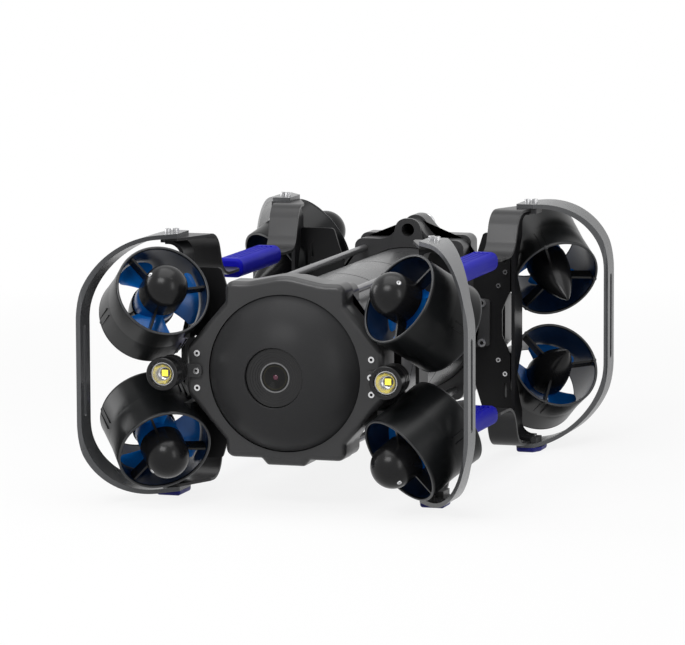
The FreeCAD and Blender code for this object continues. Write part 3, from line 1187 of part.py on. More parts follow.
# ---- the assembly -----------------------------------------------------------------------------
def build_nodes():
    nodes = {
        "front_end_frame": [front_end_frame()], "rear_end_frame": [rear_end_frame()],
        "main_housing": [main_housing()], "tie_rods": tie_rods(), "dome_shroud": [dome_shroud()],
        "lens_port": [lens_port()], "camera_module": [camera_module()],
        "electronics_tray": [electronics_tray()], "battery_pack": battery_pack(),
        "rear_end_cap": [rear_end_cap()], "rear_penetrators": rear_penetrators(),
        "lifting_shackle": [lifting_shackle()], "screws": screws()}
    loop, band, plate, clamp, foot = bumper_loop(), inner_band(), corner_plate(), plate_clamp(), foot_pad()
    duct, pod, prop = thruster_duct(), thruster_pod(), propeller()
    block = tab_block(loop)
    nodes["plate_clamps"] = []
    nodes["feet"] = []
    nodes["tab_blocks"] = [mirrored(block, *sides, side_z) for sides in CORNERS.values()
                           for side_z in LEVELS.values()]
    for corner, (side_x, side_y) in CORNERS.items():
        nodes["bumper_loop_" + corner] = [mirrored(loop, side_x, side_y)]
        nodes["inner_band_" + corner] = [mirrored(band, side_x, side_y)]
        nodes["corner_plate_" + corner] = [mirrored(plate, side_x, side_y)]
        nodes["plate_clamps"].append(mirrored(clamp, side_x, side_y))
        nodes["feet"].append(mirrored(foot, side_x, side_y))
        for level, side_z in LEVELS.items():
            name = level + "_" + corner
            nodes["duct_" + name] = [mirrored(duct, side_x, side_y, side_z)]
            nodes["thruster_pod_" + name] = [mirrored(pod, side_x, side_y, side_z)]
            nodes["propeller_" + name] = [mirrored(prop, side_x, side_y, side_z)]
    strap, handle = grip_strap(), grip()
    for level, side_z in LEVELS.items():
        nodes[level + "_grip_straps"] = [mirrored(strap, side_x, 1, side_z) for side_x in (1, -1)]
        nodes[level + "_grips"] = [mirrored(handle, side_x, 1, side_z) for side_x in (1, -1)]
    body, lens, cup, bracket = light_body(), light_lens(), light_reflector(), light_bracket()
    nodes["light_bodies"] = [mirrored(body, side_x) for side_x in (1, -1)]
    nodes["light_lenses"] = [mirrored(lens, side_x) for side_x in (1, -1)]
    nodes["light_reflectors"] = [mirrored(cup, side_x) for side_x in (1, -1)]
    nodes["light_brackets"] = [mirrored(bracket, side_x) for side_x in (1, -1)]
    return nodes


def export(nodes):
    os.makedirs("parts", exist_ok=True)
    for name, shapes in nodes.items():
        solids = [solid for shape in shapes for solid in shape.Solids]
        result = solids[0] if len(solids) == 1 else Part.makeCompound(solids)
        result = result.translated(Vector(0, 0, CENTRE_HEIGHT))
        result.exportStep(os.path.join("parts", name + ".step"))


export(build_nodes())
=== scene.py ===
import json
import math

import bmesh
import bpy
from mathutils import Matrix, Vector


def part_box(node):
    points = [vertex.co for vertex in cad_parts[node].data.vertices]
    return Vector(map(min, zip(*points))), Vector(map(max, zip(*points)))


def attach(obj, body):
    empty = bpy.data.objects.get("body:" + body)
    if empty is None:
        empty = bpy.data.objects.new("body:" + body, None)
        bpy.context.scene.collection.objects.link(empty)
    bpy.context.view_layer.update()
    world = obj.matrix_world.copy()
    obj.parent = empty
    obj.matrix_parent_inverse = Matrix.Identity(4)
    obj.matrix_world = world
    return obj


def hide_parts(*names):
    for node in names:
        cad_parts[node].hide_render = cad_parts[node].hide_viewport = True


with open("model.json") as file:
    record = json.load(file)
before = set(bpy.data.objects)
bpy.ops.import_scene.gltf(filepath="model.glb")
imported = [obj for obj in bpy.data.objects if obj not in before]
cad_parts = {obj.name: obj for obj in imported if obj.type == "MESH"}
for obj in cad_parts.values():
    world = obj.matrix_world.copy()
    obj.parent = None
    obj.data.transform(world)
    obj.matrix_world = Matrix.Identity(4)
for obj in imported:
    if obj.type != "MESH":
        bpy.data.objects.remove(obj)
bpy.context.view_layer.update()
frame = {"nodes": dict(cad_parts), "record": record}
nodes = frame["nodes"]
behaviour = frame["record"]["behaviour"]
joints = {joint["name"]: joint for joint in behaviour["joints"]}
BODIES = {name: body for body, names in behaviour["bodies"].items() for name in names}
MM = 0.001


def new_object(name, data):
    """Object in the scene's own collection, at the origin."""
    made = bpy.data.objects.new(name, data)
    bpy.context.scene.collection.objects.link(made)
    return made


# ---- camera --------------------------------------------------------------------------------
CAMERA_AZIMUTH = 17.366
CAMERA_ELEVATION = 7.434
CAMERA_ROLL = 0.253
CAMERA_PLACE = Vector((1.8861, -6.0995, 1.0434))
CAMERA_LENS = 241.83
CAMERA_SENSOR = 36.0
CAMERA_CLIP_START = 0.1
CAMERA_CLIP_END = 200.0


def make_camera():
    """Long-lens camera in front of the vehicle, a little to its right and above it."""
    azimuth = math.radians(CAMERA_AZIMUTH)
    elevation = math.radians(CAMERA_ELEVATION)
    roll = math.radians(CAMERA_ROLL)
    right = Vector((math.cos(azimuth), math.sin(azimuth), 0.0))
    back = Vector((math.sin(azimuth) * math.cos(elevation),
                   -math.cos(azimuth) * math.cos(elevation), math.sin(elevation)))
    up = back.cross(right)
    rolled_right = right * math.cos(roll) - up * math.sin(roll)
    rolled_up = right * math.sin(roll) + up * math.cos(roll)
    data = bpy.data.cameras.new("camera")
    data.lens = CAMERA_LENS
    data.sensor_width = CAMERA_SENSOR
    data.clip_start = CAMERA_CLIP_START
    data.clip_end = CAMERA_CLIP_END
    camera = new_object("camera", data)
    turn = Matrix((rolled_right, rolled_up, back)).transposed()
    camera.matrix_world = Matrix.Translation(CAMERA_PLACE) @ turn.to_4x4()
    bpy.context.scene.camera = camera


make_camera()


# ---- shared shader groups ------------------------------------------------------------------
BROAD_SCALE = 22.0
BREAKUP_SCALE = 160.0
NOISE_MIDDLE = 0.5
WEAR_GAIN = 9.0


def new_group(name, inputs, outputs):
    """Empty shader group: inputs with their defaults and named outputs, all of them numbers."""
    tree = bpy.data.node_groups.new(name, "ShaderNodeTree")
    for label, default in inputs.items():
        socket = tree.interface.new_socket(label, in_out="INPUT", socket_type="NodeSocketFloat")
        socket.default_value = default
    for label in outputs:
        tree.interface.new_socket(label, in_out="OUTPUT", socket_type="NodeSocketFloat")
    return tree, tree.nodes.new("NodeGroupInput").outputs, tree.nodes.new("NodeGroupOutput").inputs


def add_node(tree, kind, inputs=None, **settings):
    """Add a node, set its properties, and set or link its inputs."""
    made = tree.nodes.new(kind)
    for key, value in settings.items():
        setattr(made, key, value)
    for key, value in (inputs or {}).items():
        if isinstance(value, bpy.types.NodeSocket):
            tree.links.new(value, made.inputs[key])
        else:
            made.inputs[key].default_value = value
    return made


def node(tree, kind, inputs=None, **settings):
    """Shader node, named without its usual prefix."""
    return add_node(tree, "ShaderNode" + kind, inputs, **settings)


def moulded_grain_group():
    """Fine grain of a moulded or anodised skin: a height, and small changes of tone and gloss."""
    tree, enter, leave = new_group(
        "moulded grain", {"Scale": 900.0, "Tone": 0.1, "Roughness": 0.4, "Spread": 0.08},
        ("Height", "Tone", "Roughness"))
    place = node(tree, "TexCoord").outputs["Object"]
    fine = node(tree, "TexNoise", {"Vector": place, "Scale": enter["Scale"], "Detail": 2.0,
                                   "Roughness": 0.6})
    broad = node(tree, "TexNoise", {"Vector": place, "Scale": BROAD_SCALE, "Detail": 3.0,
                                    "Roughness": 0.55})
    lift = node(tree, "Math", {0: fine.outputs["Fac"], 1: NOISE_MIDDLE}, operation="SUBTRACT")
    tone = node(tree, "Math", {0: lift.outputs[0], 1: enter["Tone"], 2: 1.0},
                operation="MULTIPLY_ADD")
    centre = node(tree, "Math", {0: broad.outputs["Fac"], 1: NOISE_MIDDLE}, operation="SUBTRACT")
    rough = node(tree, "Math", {0: centre.outputs[0], 1: enter["Spread"], 2: enter["Roughness"]},
                 operation="MULTIPLY_ADD")
    tree.links.new(fine.outputs["Fac"], leave["Height"])
    tree.links.new(tone.outputs[0], leave["Tone"])
    tree.links.new(rough.outputs[0], leave["Roughness"])
    return tree


def worn_edge_group():
    """Mask of the outer edges, broken up by noise."""
    tree, enter, leave = new_group("worn edge", {"Radius": 0.0008, "Amount": 0.5}, ("Mask",))
    soft = node(tree, "Bevel", {"Radius": enter["Radius"]}, samples=4)
    plain = node(tree, "NewGeometry")
    close = node(tree, "VectorMath", {0: soft.outputs["Normal"], 1: plain.outputs["Normal"]},
                 operation="DOT_PRODUCT")
    away = node(tree, "Math", {0: 1.0, 1: close.outputs["Value"]}, operation="SUBTRACT")
    place = node(tree, "TexCoord").outputs["Object"]
    breakup = node(tree, "TexNoise", {"Vector": place, "Scale": BREAKUP_SCALE, "Detail": 4.0,
                                      "Roughness": 0.6})
    strong = node(tree, "Math", {0: away.outputs[0], 1: WEAR_GAIN}, operation="MULTIPLY",
                  use_clamp=True)
    patchy = node(tree, "Math", {0: strong.outputs[0], 1: breakup.outputs["Fac"]},
                  operation="MULTIPLY")
    mask = node(tree, "Math", {0: patchy.outputs[0], 1: enter["Amount"]}, operation="MULTIPLY",
                use_clamp=True)
    tree.links.new(mask.outputs[0], leave["Mask"])
    return tree


MOULDED_GRAIN = moulded_grain_group()
WORN_EDGE = worn_edge_group()


# ---- finishes ------------------------------------------------------------------------------
WORN_EDGE_RADIUS = 0.8 * MM
BUMP_DEPTH = 1.0 * MM
PALER = 1.9
PALER_LIFT = 0.012


def start_material(name, even):
    """Material with one shader, whose even values are set on its own sockets."""
    material = bpy.data.materials.new(name)
    material.use_nodes = True
    tree = material.node_tree
    tree.nodes.clear()
    surface = node(tree, "BsdfPrincipled", even)
    node(tree, "OutputMaterial", {"Surface": surface.outputs[0]})
    return material, tree, surface.inputs


def use_group(tree, group, **values):
    """The group as a node, with its inputs set."""
    made = tree.nodes.new("ShaderNodeGroup")
    made.node_tree = group
    for key, value in values.items():
        made.inputs[key].default_value = value
    return made.outputs


def grained(tree, surface, colour, **grain):
    """Vary the shader's roughness with the grain; return the grain and the varied colour."""
    grainy = use_group(tree, MOULDED_GRAIN, **grain)
    base = node(tree, "VectorMath", {0: colour, "Scale": grainy["Tone"]}, operation="SCALE")
    tree.links.new(grainy["Roughness"], surface["Roughness"])
    return grainy, base.outputs[0]


def skin(name, colour, roughness, grain=2400.0, bump=0.02, tone=0.25, spread=0.1, metallic=0.0,
         edge_colour=None, edge_amount=0.5, specular=0.5, coat=0.0, coat_roughness=0.1):
    """Rigid skin: base colour, fine grain, and a little wear on the outer edges."""
    material, tree, surface = start_material(name, {
        "Metallic": metallic, "Specular IOR Level": specular, "Coat Weight": coat,
        "Coat Roughness": coat_roughness})
    grainy, base = grained(tree, surface, colour, Scale=grain, Tone=tone, Roughness=roughness,
                           Spread=spread)
    edge = use_group(tree, WORN_EDGE, Radius=WORN_EDGE_RADIUS, Amount=edge_amount)
    pale = edge_colour or [min(1.0, c * PALER + PALER_LIFT) for c in colour]
    mix = node(tree, "MixRGB", {"Fac": edge["Mask"], "Color1": base, "Color2": (*pale, 1.0)})
    lump = node(tree, "Bump", {"Height": grainy["Height"], "Strength": bump,
                               "Distance": BUMP_DEPTH})
    tree.links.new(mix.outputs[0], surface["Base Color"])
    tree.links.new(lump.outputs["Normal"], surface["Normal"])
    return material


def thin_cover(name, colour, cover, specular):
    """Thin clear cover: mostly see-through, with a polished face."""
    material, tree, surface = start_material(name, {
        "Alpha": cover, "Specular IOR Level": specular, "Coat Weight": 1.0,
        "Coat Roughness": 0.02})
    base = grained(tree, surface, colour, Scale=300.0, Tone=0.1, Roughness=0.04, Spread=0.01)[1]
    tree.links.new(base, surface["Base Color"])
    return material


def glowing(name, colour, strength):
    """Lamp chip: its own colour, with a faint even glow."""
    material, tree, surface = start_material(name, {"Emission Strength": strength})
    base = grained(tree, surface, colour, Scale=2500.0, Tone=0.3, Roughness=0.4, Spread=0.1)[1]
    tree.links.new(base, surface["Base Color"])
    tree.links.new(base, surface["Emission Color"])
    return material


FRAME_GREY = skin("frame grey", (0.036, 0.036, 0.037), 0.3, grain=1500, bump=0.03, tone=0.35,
                  specular=0.3)
HULL_GREY = skin("hull grey", (0.05, 0.05, 0.052), 0.28, metallic=0.35, grain=1400, bump=0.01,
                 specular=0.35)
ROD_GREY = skin("rod grey", (0.20, 0.20, 0.205), 0.3, metallic=0.7)
DOME_BLACK = skin("dome black", (0.030, 0.030, 0.031), 0.34, grain=2200, bump=0.04, tone=0.7,
                  specular=0.06, edge_amount=0.0)
LOOP_GREY = skin("loop grey", (0.085, 0.087, 0.091), 0.26, metallic=0.3, grain=1600, bump=0.01,
                 specular=0.35)
STRAP_BLACK = skin("strap black", (0.018, 0.018, 0.019), 0.34, grain=1600, specular=0.3)
BAND_BLACK = skin("band black", (0.008, 0.008, 0.009), 0.38, specular=0.25)
PLATE_BLACK = skin("plate black", (0.006, 0.006, 0.0065), 0.4, specular=0.2)
CLAMP_GREY = skin("clamp grey", (0.035, 0.035, 0.036), 0.4, specular=0.3)
DUCT_BLACK = skin("duct black", (0.0045, 0.005, 0.0055), 0.3, grain=2600, bump=0.03, tone=0.8,
                  specular=0.2)
DUCT_BLUE_BORE = skin("duct bore", (0.003, 0.010, 0.030), 0.3, grain=2600, bump=0.05, tone=0.8,
                      specular=0.3)
DUCT_RIM = skin("duct rim", (0.02, 0.021, 0.023), 0.3, specular=0.4)
POD_BLACK = skin("pod black", (0.006, 0.006, 0.0065), 0.26, grain=2600, tone=0.6, specular=0.22)
PROPELLER_BLUE = skin("propeller blue", (0.002, 0.11, 0.40), 0.25, bump=0.01, specular=0.3,
                      edge_amount=0.2)
GRIP_BLUE = skin("grip blue", (0.004, 0.004, 0.34), 0.5, grain=2600, bump=0.1, tone=0.5,
                 specular=0.1, edge_amount=0.2, edge_colour=(0.02, 0.02, 0.5))
FOOT_BLUE = skin("foot blue", (0.003, 0.005, 0.16), 0.5, grain=2600, bump=0.1, specular=0.3)
STEEL = skin("bright steel", (0.62, 0.62, 0.63), 0.22, metallic=1.0, edge_amount=0.2)
CAP_BLACK = skin("cap black", (0.014, 0.014, 0.015), 0.36, specular=0.35)
GLAND_METAL = skin("gland metal", (0.05, 0.05, 0.052), 0.34, metallic=0.4)
LIGHT_BLACK = skin("light black", (0.006, 0.006, 0.0065), 0.3, specular=0.3)
CAMERA_BLACK = skin("camera black", (0.004, 0.004, 0.004), 0.4, specular=0.15, edge_amount=0.0)
LENS_RING = skin("lens ring", (0.16, 0.16, 0.162), 0.4, specular=0.4, edge_amount=0.0, bump=0.0)
# Pink base colour of the small inner lens: a painted reflection of its coating; the clear coat over
# it gives a real gloss.
LENS_PINK_PAINTED_REFLECTION = skin("lens pink painted reflection", (0.07, 0.003, 0.022), 0.06, specular=0.4, coat=0.4,
                 coat_roughness=0.02, bump=0.0, edge_amount=0.0)
BOARD_GREEN = skin("board green", (0.02, 0.12, 0.05), 0.5)
BATTERY = skin("battery sleeve", (0.03, 0.04, 0.08), 0.5)
MIRROR = skin("reflector silver", (0.5, 0.5, 0.51), 0.2, metallic=1.0, grain=500,
              edge_amount=0.0)
LAMP_CHIP = glowing("lamp chip", (1.0, 0.80, 0.04), 0.9)
PORT_WINDOW = skin("port window", (0.011, 0.011, 0.0115), 0.3, specular=0.1, edge_amount=0.0,
                   bump=0.0, coat=0.45, coat_roughness=0.03)
LENS_BARREL = skin("lens barrel", (0.003, 0.003, 0.003), 0.3, specular=0.1, edge_amount=0.0,
                   bump=0.0, coat=0.25, coat_roughness=0.05)
# Olive base colour of a thin ring round the lens: a painted reflection of the lens coating.
LENS_OLIVE_PAINTED_REFLECTION = skin("lens olive painted reflection", (0.03, 0.026, 0.004), 0.2, edge_amount=0.0, bump=0.0)
LAMP_GLASS = thin_cover("lamp cover", (0.5, 0.5, 0.5), 0.06, 0.5)
# Dark material of painted shade for the bottom of the screw sockets.
SOCKET_SHADE = skin("socket shade", (0.006, 0.006, 0.006), 0.6, specular=0.1)

FINISHES = {
    "front_end_frame": FRAME_GREY, "rear_end_frame": FRAME_GREY, "main_housing": HULL_GREY,
    "tie_rods": ROD_GREY, "dome_shroud": DOME_BLACK, "bumper_loop": LOOP_GREY,
    "upper_grip_straps": STRAP_BLACK, "lower_grip_straps": STRAP_BLACK,
    "upper_grips": GRIP_BLUE, "lower_grips": GRIP_BLUE, "inner_band": BAND_BLACK,
    "corner_plate": PLATE_BLACK, "plate_clamps": CLAMP_GREY, "duct": DUCT_BLACK,
    "tab_blocks": CLAMP_GREY, "thruster_pod": POD_BLACK, "propeller": PROPELLER_BLUE,
    "feet": FOOT_BLUE, "screws": STEEL, "lifting_shackle": STEEL, "rear_end_cap": CAP_BLACK,
    "rear_penetrators": GLAND_METAL, "light_bodies": LIGHT_BLACK, "light_brackets": FRAME_GREY,
    "light_lenses": LAMP_GLASS, "light_reflectors": MIRROR, "camera_module": CAMERA_BLACK,
    "lens_port": PORT_WINDOW, "electronics_tray": BOARD_GREEN, "battery_pack": BATTERY}


def finish_of(name):
    """Finish of a node: the longest key that its name is or starts with."""
    matches = [key for key in FINISHES if name == key or name.startswith(key + "_")]
    return FINISHES[max(matches, key=len)]


def finish_cad_nodes():
    """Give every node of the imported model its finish."""
    for name, thing in nodes.items():
        for place in thing.material_slots:
            place.material = finish_of(name)


finish_cad_nodes()


# ---- making pieces -------------------------------------------------------------------------
CAD_MERGE = 2e-6
LATHE_MERGE = 1e-7
BLADE_MERGE = 1e-6
FLAT_ANGLE = 0.6
ROUNDED_FROM = 28.0
ROUNDING_STEPS = 2
SHARP_STEPPED = 20.0
SHARP_PLAIN = 32.0
SHARP_CURVED = 40.0
SHARP_BEAD = 60.0


def mm(profile):
    """Profile in metres from (radius, height) points in millimetres."""
    return [(radius * MM, height * MM) for radius, height in profile]


def smooth_by_angle(form, degrees):
    """Smooth faces, with an edge kept sharp where it turns by more than this."""
    limit = math.radians(degrees)
    for face in form.faces:
        face.smooth = True
    for edge in form.edges:
        edge.smooth = len(edge.link_faces) == 2 and edge.calc_face_angle(0.0) < limit


def add_piece(name, form, materials, stands_for, sharp=SHARP_PLAIN, hides=True):
    """Put a form in the scene: it rides the body of the node that it stands for or sits on."""
    smooth_by_angle(form, sharp)
    mesh = bpy.data.meshes.new(name)
    form.to_mesh(mesh)
    form.free()
    for material in materials:
        mesh.materials.append(material)
    piece = new_object(name, mesh)
    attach(piece, BODIES[stands_for])
    if hides:
        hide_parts(stands_for)
    return piece


def merged_form(mesh):
    """Form of a node's loose triangles, with the corners that they share merged."""
    form = bmesh.new()
    form.from_mesh(mesh)
    bmesh.ops.remove_doubles(form, verts=form.verts, dist=CAD_MERGE)
    return form


def close_form(form, merge):
    """Merge the corners that meet, and turn every face outwards."""
    bmesh.ops.remove_doubles(form, verts=form.verts, dist=merge)
    bmesh.ops.recalc_face_normals(form, faces=form.faces)
    return form


def lathe(profile, place, sides=96):
    """Form turned about the local Z axis from a closed profile in metres, then put in place."""
    form = bmesh.new()
    rings = []
    for turn in range(sides):
        angle = 2 * math.pi * turn / sides
        rings.append([
            form.verts.new(place @ Vector((r * math.cos(angle), r * math.sin(angle), h)))
            for r, h in profile])
    for turn in range(sides):
        here, there = rings[turn], rings[(turn + 1) % sides]
        for k in range(len(profile)):
            after = (k + 1) % len(profile)
            form.faces.new((here[k], there[k], there[after], here[after]))
    return close_form(form, LATHE_MERGE)


def join_forms(forms):
    """One form from several."""
    whole = bmesh.new()
    for form in forms:
        part = bpy.data.meshes.new("part")
        form.to_mesh(part)
        form.free()
        whole.from_mesh(part)
        bpy.data.meshes.remove(part)
    return whole


# ---- frames, hull, loops, straps and the other rigid parts ---------------------------------
# Widths of the rounded edges, in millimetres.
EDGE_ROUNDING = {
    "front_end_frame": 1.4, "rear_end_frame": 1.4, "main_housing": 0.4, "tie_rods": 0.4,
    "rear_end_cap": 0.6, "rear_penetrators": 0.4, "plate_clamps": 0.9, "tab_blocks": 0.6,
    "feet": 0.6, "upper_grip_straps": 0.7, "lower_grip_straps": 0.7, "upper_grips": 0.8,
    "lower_grips": 0.8, "light_bodies": 0.5, "light_brackets": 0.9}
LOOP_ROUNDING = 1.0
BAND_ROUNDING = 0.6


def add_rounded(name, edge):
    """The node's own solid with its flat facets joined and every sharp edge rounded."""
    form = merged_form(nodes[name].data)
    bmesh.ops.dissolve_limit(form, angle_limit=math.radians(FLAT_ANGLE), verts=form.verts,
                             edges=form.edges)
    bmesh.ops.recalc_face_normals(form, faces=form.faces)
    piece = add_piece(name + "_finished", form, [finish_of(name)], name, sharp=ROUNDED_FROM)
    rounding = piece.modifiers.new("edge rounding", "BEVEL")
    rounding.width = edge * MM
    rounding.segments = ROUNDING_STEPS
    rounding.limit_method = "ANGLE"
    rounding.angle_limit = math.radians(ROUNDED_FROM)
    rounding.harden_normals = True


def finish_rigid_parts():
    """Round the single parts first, then the loops, then the bands and corner plates."""
    loops = [name for name in nodes if name.startswith("bumper_loop")]
    bands = [name for name in nodes if name.startswith(("inner_band", "corner_plate"))]
    for name, edge in EDGE_ROUNDING.items():
        add_rounded(name, edge)
    for name in loops:
        add_rounded(name, LOOP_ROUNDING)
    for name in bands:
        add_rounded(name, BAND_ROUNDING)


finish_rigid_parts()


# ---- socket head screws --------------------------------------------------------------------
HEAD_SHARE = 0.9
SEAT_GAP = 0.1 * MM
PLAIN_SHANK = 0.6
SHANK_SIDES = 16
HEXAGON = 6
SHADE_DEPTH = 0.04
SOCKET_PROUD = 0.001
IN_SOCKET = "in socket"
SCREW_INPUTS = {"Head Sides": 28, "Socket Width": 0.52, "Socket Depth": 0.55, "Seed": 11}


def screw_facts(points):
    """Seat, outward way, head and shank of one screw, measured on its own points.

    A point lies on the head where it is further out than HEAD_SHARE of the widest, and on the
    shank where it is lower than the seat by more than SEAT_GAP. A screw with no such point gets
    a shank PLAIN_SHANK as wide as its head.
    """
    low = Vector([min(v[k] for v in points) for k in range(3)])
    high = Vector([max(v[k] for v in points) for k in range(3)])
    middle, size = (low + high) / 2, high - low
    axis = max(range(3), key=lambda k: size[k])

    def off_axis(v):
        return math.hypot(*[v[k] - middle[k] for k in range(3) if k != axis])
    head = max(off_axis(v) for v in points)
    on_head = [v[axis] for v in points if off_axis(v) > HEAD_SHARE * head]
    sign = 1.0 if (min(on_head) + max(on_head)) / 2 > middle[axis] else -1.0
    seat = min(on_head) if sign > 0 else max(on_head)
    way = Vector((0.0, 0.0, 0.0))
    way[axis] = sign
    place = Vector(middle)
    place[axis] = seat
    on_shank = [off_axis(v) for v in points if (v[axis] - seat) * sign < -SEAT_GAP]
    shank = max(on_shank, default=PLAIN_SHANK * head)
    length = seat - low[axis] if sign > 0 else high[axis] - seat
    return {"seat": place, "way": way, "head": (head, head, max(on_head) - min(on_head)),
            "shank": (shank, shank, length)}


def loose_islands(mesh):
    """Points of each separate solid in a mesh."""
    form = merged_form(mesh)
    form.verts.ensure_lookup_table()
    seen = set()
    islands = []
    for start in form.verts:
        if start.index in seen:
            continue
        stack, island = [start], []
        seen.add(start.index)
        while stack:
            vert = stack.pop()
            island.append(vert.co.copy())
            for edge in vert.link_edges:
                other = edge.other_vert(vert)
                if other.index not in seen:
                    seen.add(other.index)
                    stack.append(other)
        islands.append(island)
    form.free()
    return islands


def screw_tree():
    """Geometry tree: a hexagon-socket screw on every point, turned at random about its axis."""
    tree = bpy.data.node_groups.new("socket head screws", "GeometryNodeTree")
    tree.is_modifier = True
    for label, kind in (("Geometry", "Geometry"), ("Head Sides", "Int"), ("Socket Width", "Float"),
                        ("Socket Depth", "Float"), ("Seed", "Int"), ("Material", "Material"),
                        ("Socket Material", "Material")):
        tree.interface.new_socket(label, in_out="INPUT", socket_type="NodeSocket" + kind)
    tree.interface.new_socket("Geometry", in_out="OUTPUT", socket_type="NodeSocketGeometry")
    enter = tree.nodes.new("NodeGroupInput").outputs
    leave = tree.nodes.new("NodeGroupOutput").inputs

    def add(kind, inputs=None, **settings):
        return add_node(tree, "GeometryNode" + kind, inputs, **settings).outputs

    def attribute(name, kind="FLOAT_VECTOR"):
        return add("InputNamedAttribute", {"Name": name}, data_type=kind)[0]

    def cylinder(sides, radius, depth, height):
        round_bar = add("MeshCylinder", {"Vertices": sides, "Radius": radius, "Depth": depth})
        shift = node(tree, "CombineXYZ", {"Z": height}).outputs[0]
        return add("Transform", {"Geometry": round_bar["Mesh"], "Translation": shift})[0]

    def join(first, second):
        joined = tree.nodes.new("GeometryNodeJoinGeometry")
        tree.links.new(first, joined.inputs[0])
        tree.links.new(second, joined.inputs[0])
        return joined.outputs[0]

    def on_points(instance, scale):
        return add("InstanceOnPoints", {"Points": enter["Geometry"], "Instance": instance,
                                        "Rotation": outward, "Scale": attribute(scale)})[0]
    outward = add_node(tree, "FunctionNodeAlignRotationToVector", {"Vector": attribute("way")},
                       axis="Z").outputs[0]
    half_depth = node(tree, "Math", {0: enter["Socket Depth"], 1: -0.5, 2: 1.0 + SOCKET_PROUD},
                      operation="MULTIPLY_ADD").outputs[0]
    blank = cylinder(enter["Head Sides"], 1.0, 1.0, 0.5)
    hexagon = cylinder(HEXAGON, enter["Socket Width"], enter["Socket Depth"], half_depth)
    hollow = add("MeshBoolean", {"Mesh 1": blank, "Mesh 2": hexagon}, operation="DIFFERENCE")
    # Thin dark hexagon of painted shade at the bottom of the socket, standing in for the shade in
    # the recess.
    shade = cylinder(HEXAGON, enter["Socket Width"], SHADE_DEPTH, 0.5)
    marked_shade = add("StoreNamedAttribute", {"Geometry": shade, "Name": IN_SOCKET,
                                               "Value": True}, data_type="BOOLEAN", domain="FACE")
    heads = on_points(join(hollow["Mesh"], marked_shade[0]), "head")
    spin = add_node(tree, "FunctionNodeRandomValue", {2: 0.0, 3: 2 * math.pi,
                                                      "Seed": enter["Seed"]}, data_type="FLOAT")
    spin_turn = node(tree, "CombineXYZ", {"Z": spin.outputs[1]}).outputs[0]
    spun = add("RotateInstances", {"Instances": heads, "Rotation": spin_turn})[0]
    shanks = on_points(cylinder(SHANK_SIDES, 1.0, 1.0, -0.5), "shank")
    real = add("RealizeInstances", {"Geometry": join(shanks, spun)})[0]
    clad = add("SetMaterial", {"Geometry": real, "Material": enter["Material"]})[0]
    shaded = add("SetMaterial", {"Geometry": clad, "Selection": attribute(IN_SOCKET, "BOOLEAN"),
                                 "Material": enter["Socket Material"]})[0]
    tree.links.new(shaded, leave[0])
    return tree


def grown_form(points, attributes, tree, inputs, name):
    """Run a geometry tree on points with vector attributes; return its form and materials."""
    mesh = bpy.data.meshes.new(name + " points")
    mesh.from_pydata(points, [], [])
    for label, values in attributes.items():
        layer = mesh.attributes.new(label, "FLOAT_VECTOR", "POINT")
        layer.data.foreach_set("vector", [c for value in values for c in value])
    holder = new_object(name + " holder", mesh)
    modifier = holder.modifiers.new("growth", "NODES")
    modifier.node_group = tree
    keys = {item.name: item.identifier for item in tree.interface.items_tree
            if item.item_type == "SOCKET" and item.in_out == "INPUT"}
    for label, value in inputs.items():
        modifier[keys[label]] = value
    grown = holder.evaluated_get(bpy.context.evaluated_depsgraph_get())
    result = bpy.data.meshes.new_from_object(grown)
    holder.modifiers.clear()
    bpy.data.objects.remove(holder)
    for label in (*attributes, IN_SOCKET):
        if label in result.attributes:
            result.attributes.remove(result.attributes[label])
    form = bmesh.new()
    form.from_mesh(result)
    return form, list(result.materials)


def make_screws():
    """Every screw of the model again, with a hexagon socket in its head and a dark disc of painted
    shade at the socket's bottom.
    """
    facts = [screw_facts(island) for island in loose_islands(nodes["screws"].data)]
    attributes = {key: [fact[key] for fact in facts] for key in ("way", "head", "shank")}
    inputs = {**SCREW_INPUTS, "Material": STEEL, "Socket Material": SOCKET_SHADE}
    form, materials = grown_form([fact["seat"] for fact in facts], attributes, screw_tree(),
                                 inputs, "screws")
    add_piece("screws_finished", form, materials, "screws", sharp=SHARP_CURVED)


make_screws()


# ---- thrusters -----------------------------------------------------------------------------
# Heights run along a thruster's axis from its nose, at 0, to its tail, which is below 0.
HUB_S = -44.0 * MM
HUB_RADIUS = 28.5 * MM
HUB_HALF_LENGTH = 17.0 * MM
HUB_EDGE = 1.2 * MM
HUB_EDGE_STEP = 0.3
SHAFT_RADIUS = 5.05 * MM
BLADE_COUNT = 3
BLADE_TIP_RADIUS = 59.6 * MM
BLADE_ROOT_RADIUS = 27.0 * MM
BLADE_THICKNESS = 3.0 * MM
BLADE_THINNING = 0.45
BLADE_SPAN = 21.0 * MM
BLADE_HALF_TURN = 31.0
BLADE_TIP_GAIN = 8.0
BLADE_CORNER_FROM = 0.72
BLADE_CORNER_CUT = 0.20
BLADE_ACROSS = 20
BLADE_ALONG = 12
BORE_RADIUS = 61.4 * MM
LINER_FRONT = -14.5 * MM
LINER_TAIL = -99.5 * MM
LINER_GAP = 0.05 * MM
LINER_DEPTH = 0.35 * MM
FRONT_STRUT_TURN = 150.0
NOSE_SCREW_TILT = 62.0
NOSE_SCREW_REACH = 29.9 * MM
NOSE_RING = mm([(2.1, 0.0), (2.1, 0.5), (3.0, 0.5), (3.3, 0.1), (3.3, -0.6), (2.1, -0.6)])
NOSE_SCREW_HEAD = mm([(0.0, -0.5), (1.0, -0.5), (1.0, 0.35), (1.7, 0.45), (1.95, 0.2),
                      (1.95, -0.6), (0.0, -0.6)])
RIM_ENDS = (-12.0 * MM, -102.0 * MM)
RIM_OUT = 1.5 * MM
RIM_HALF_WIDTH = 1.75 * MM
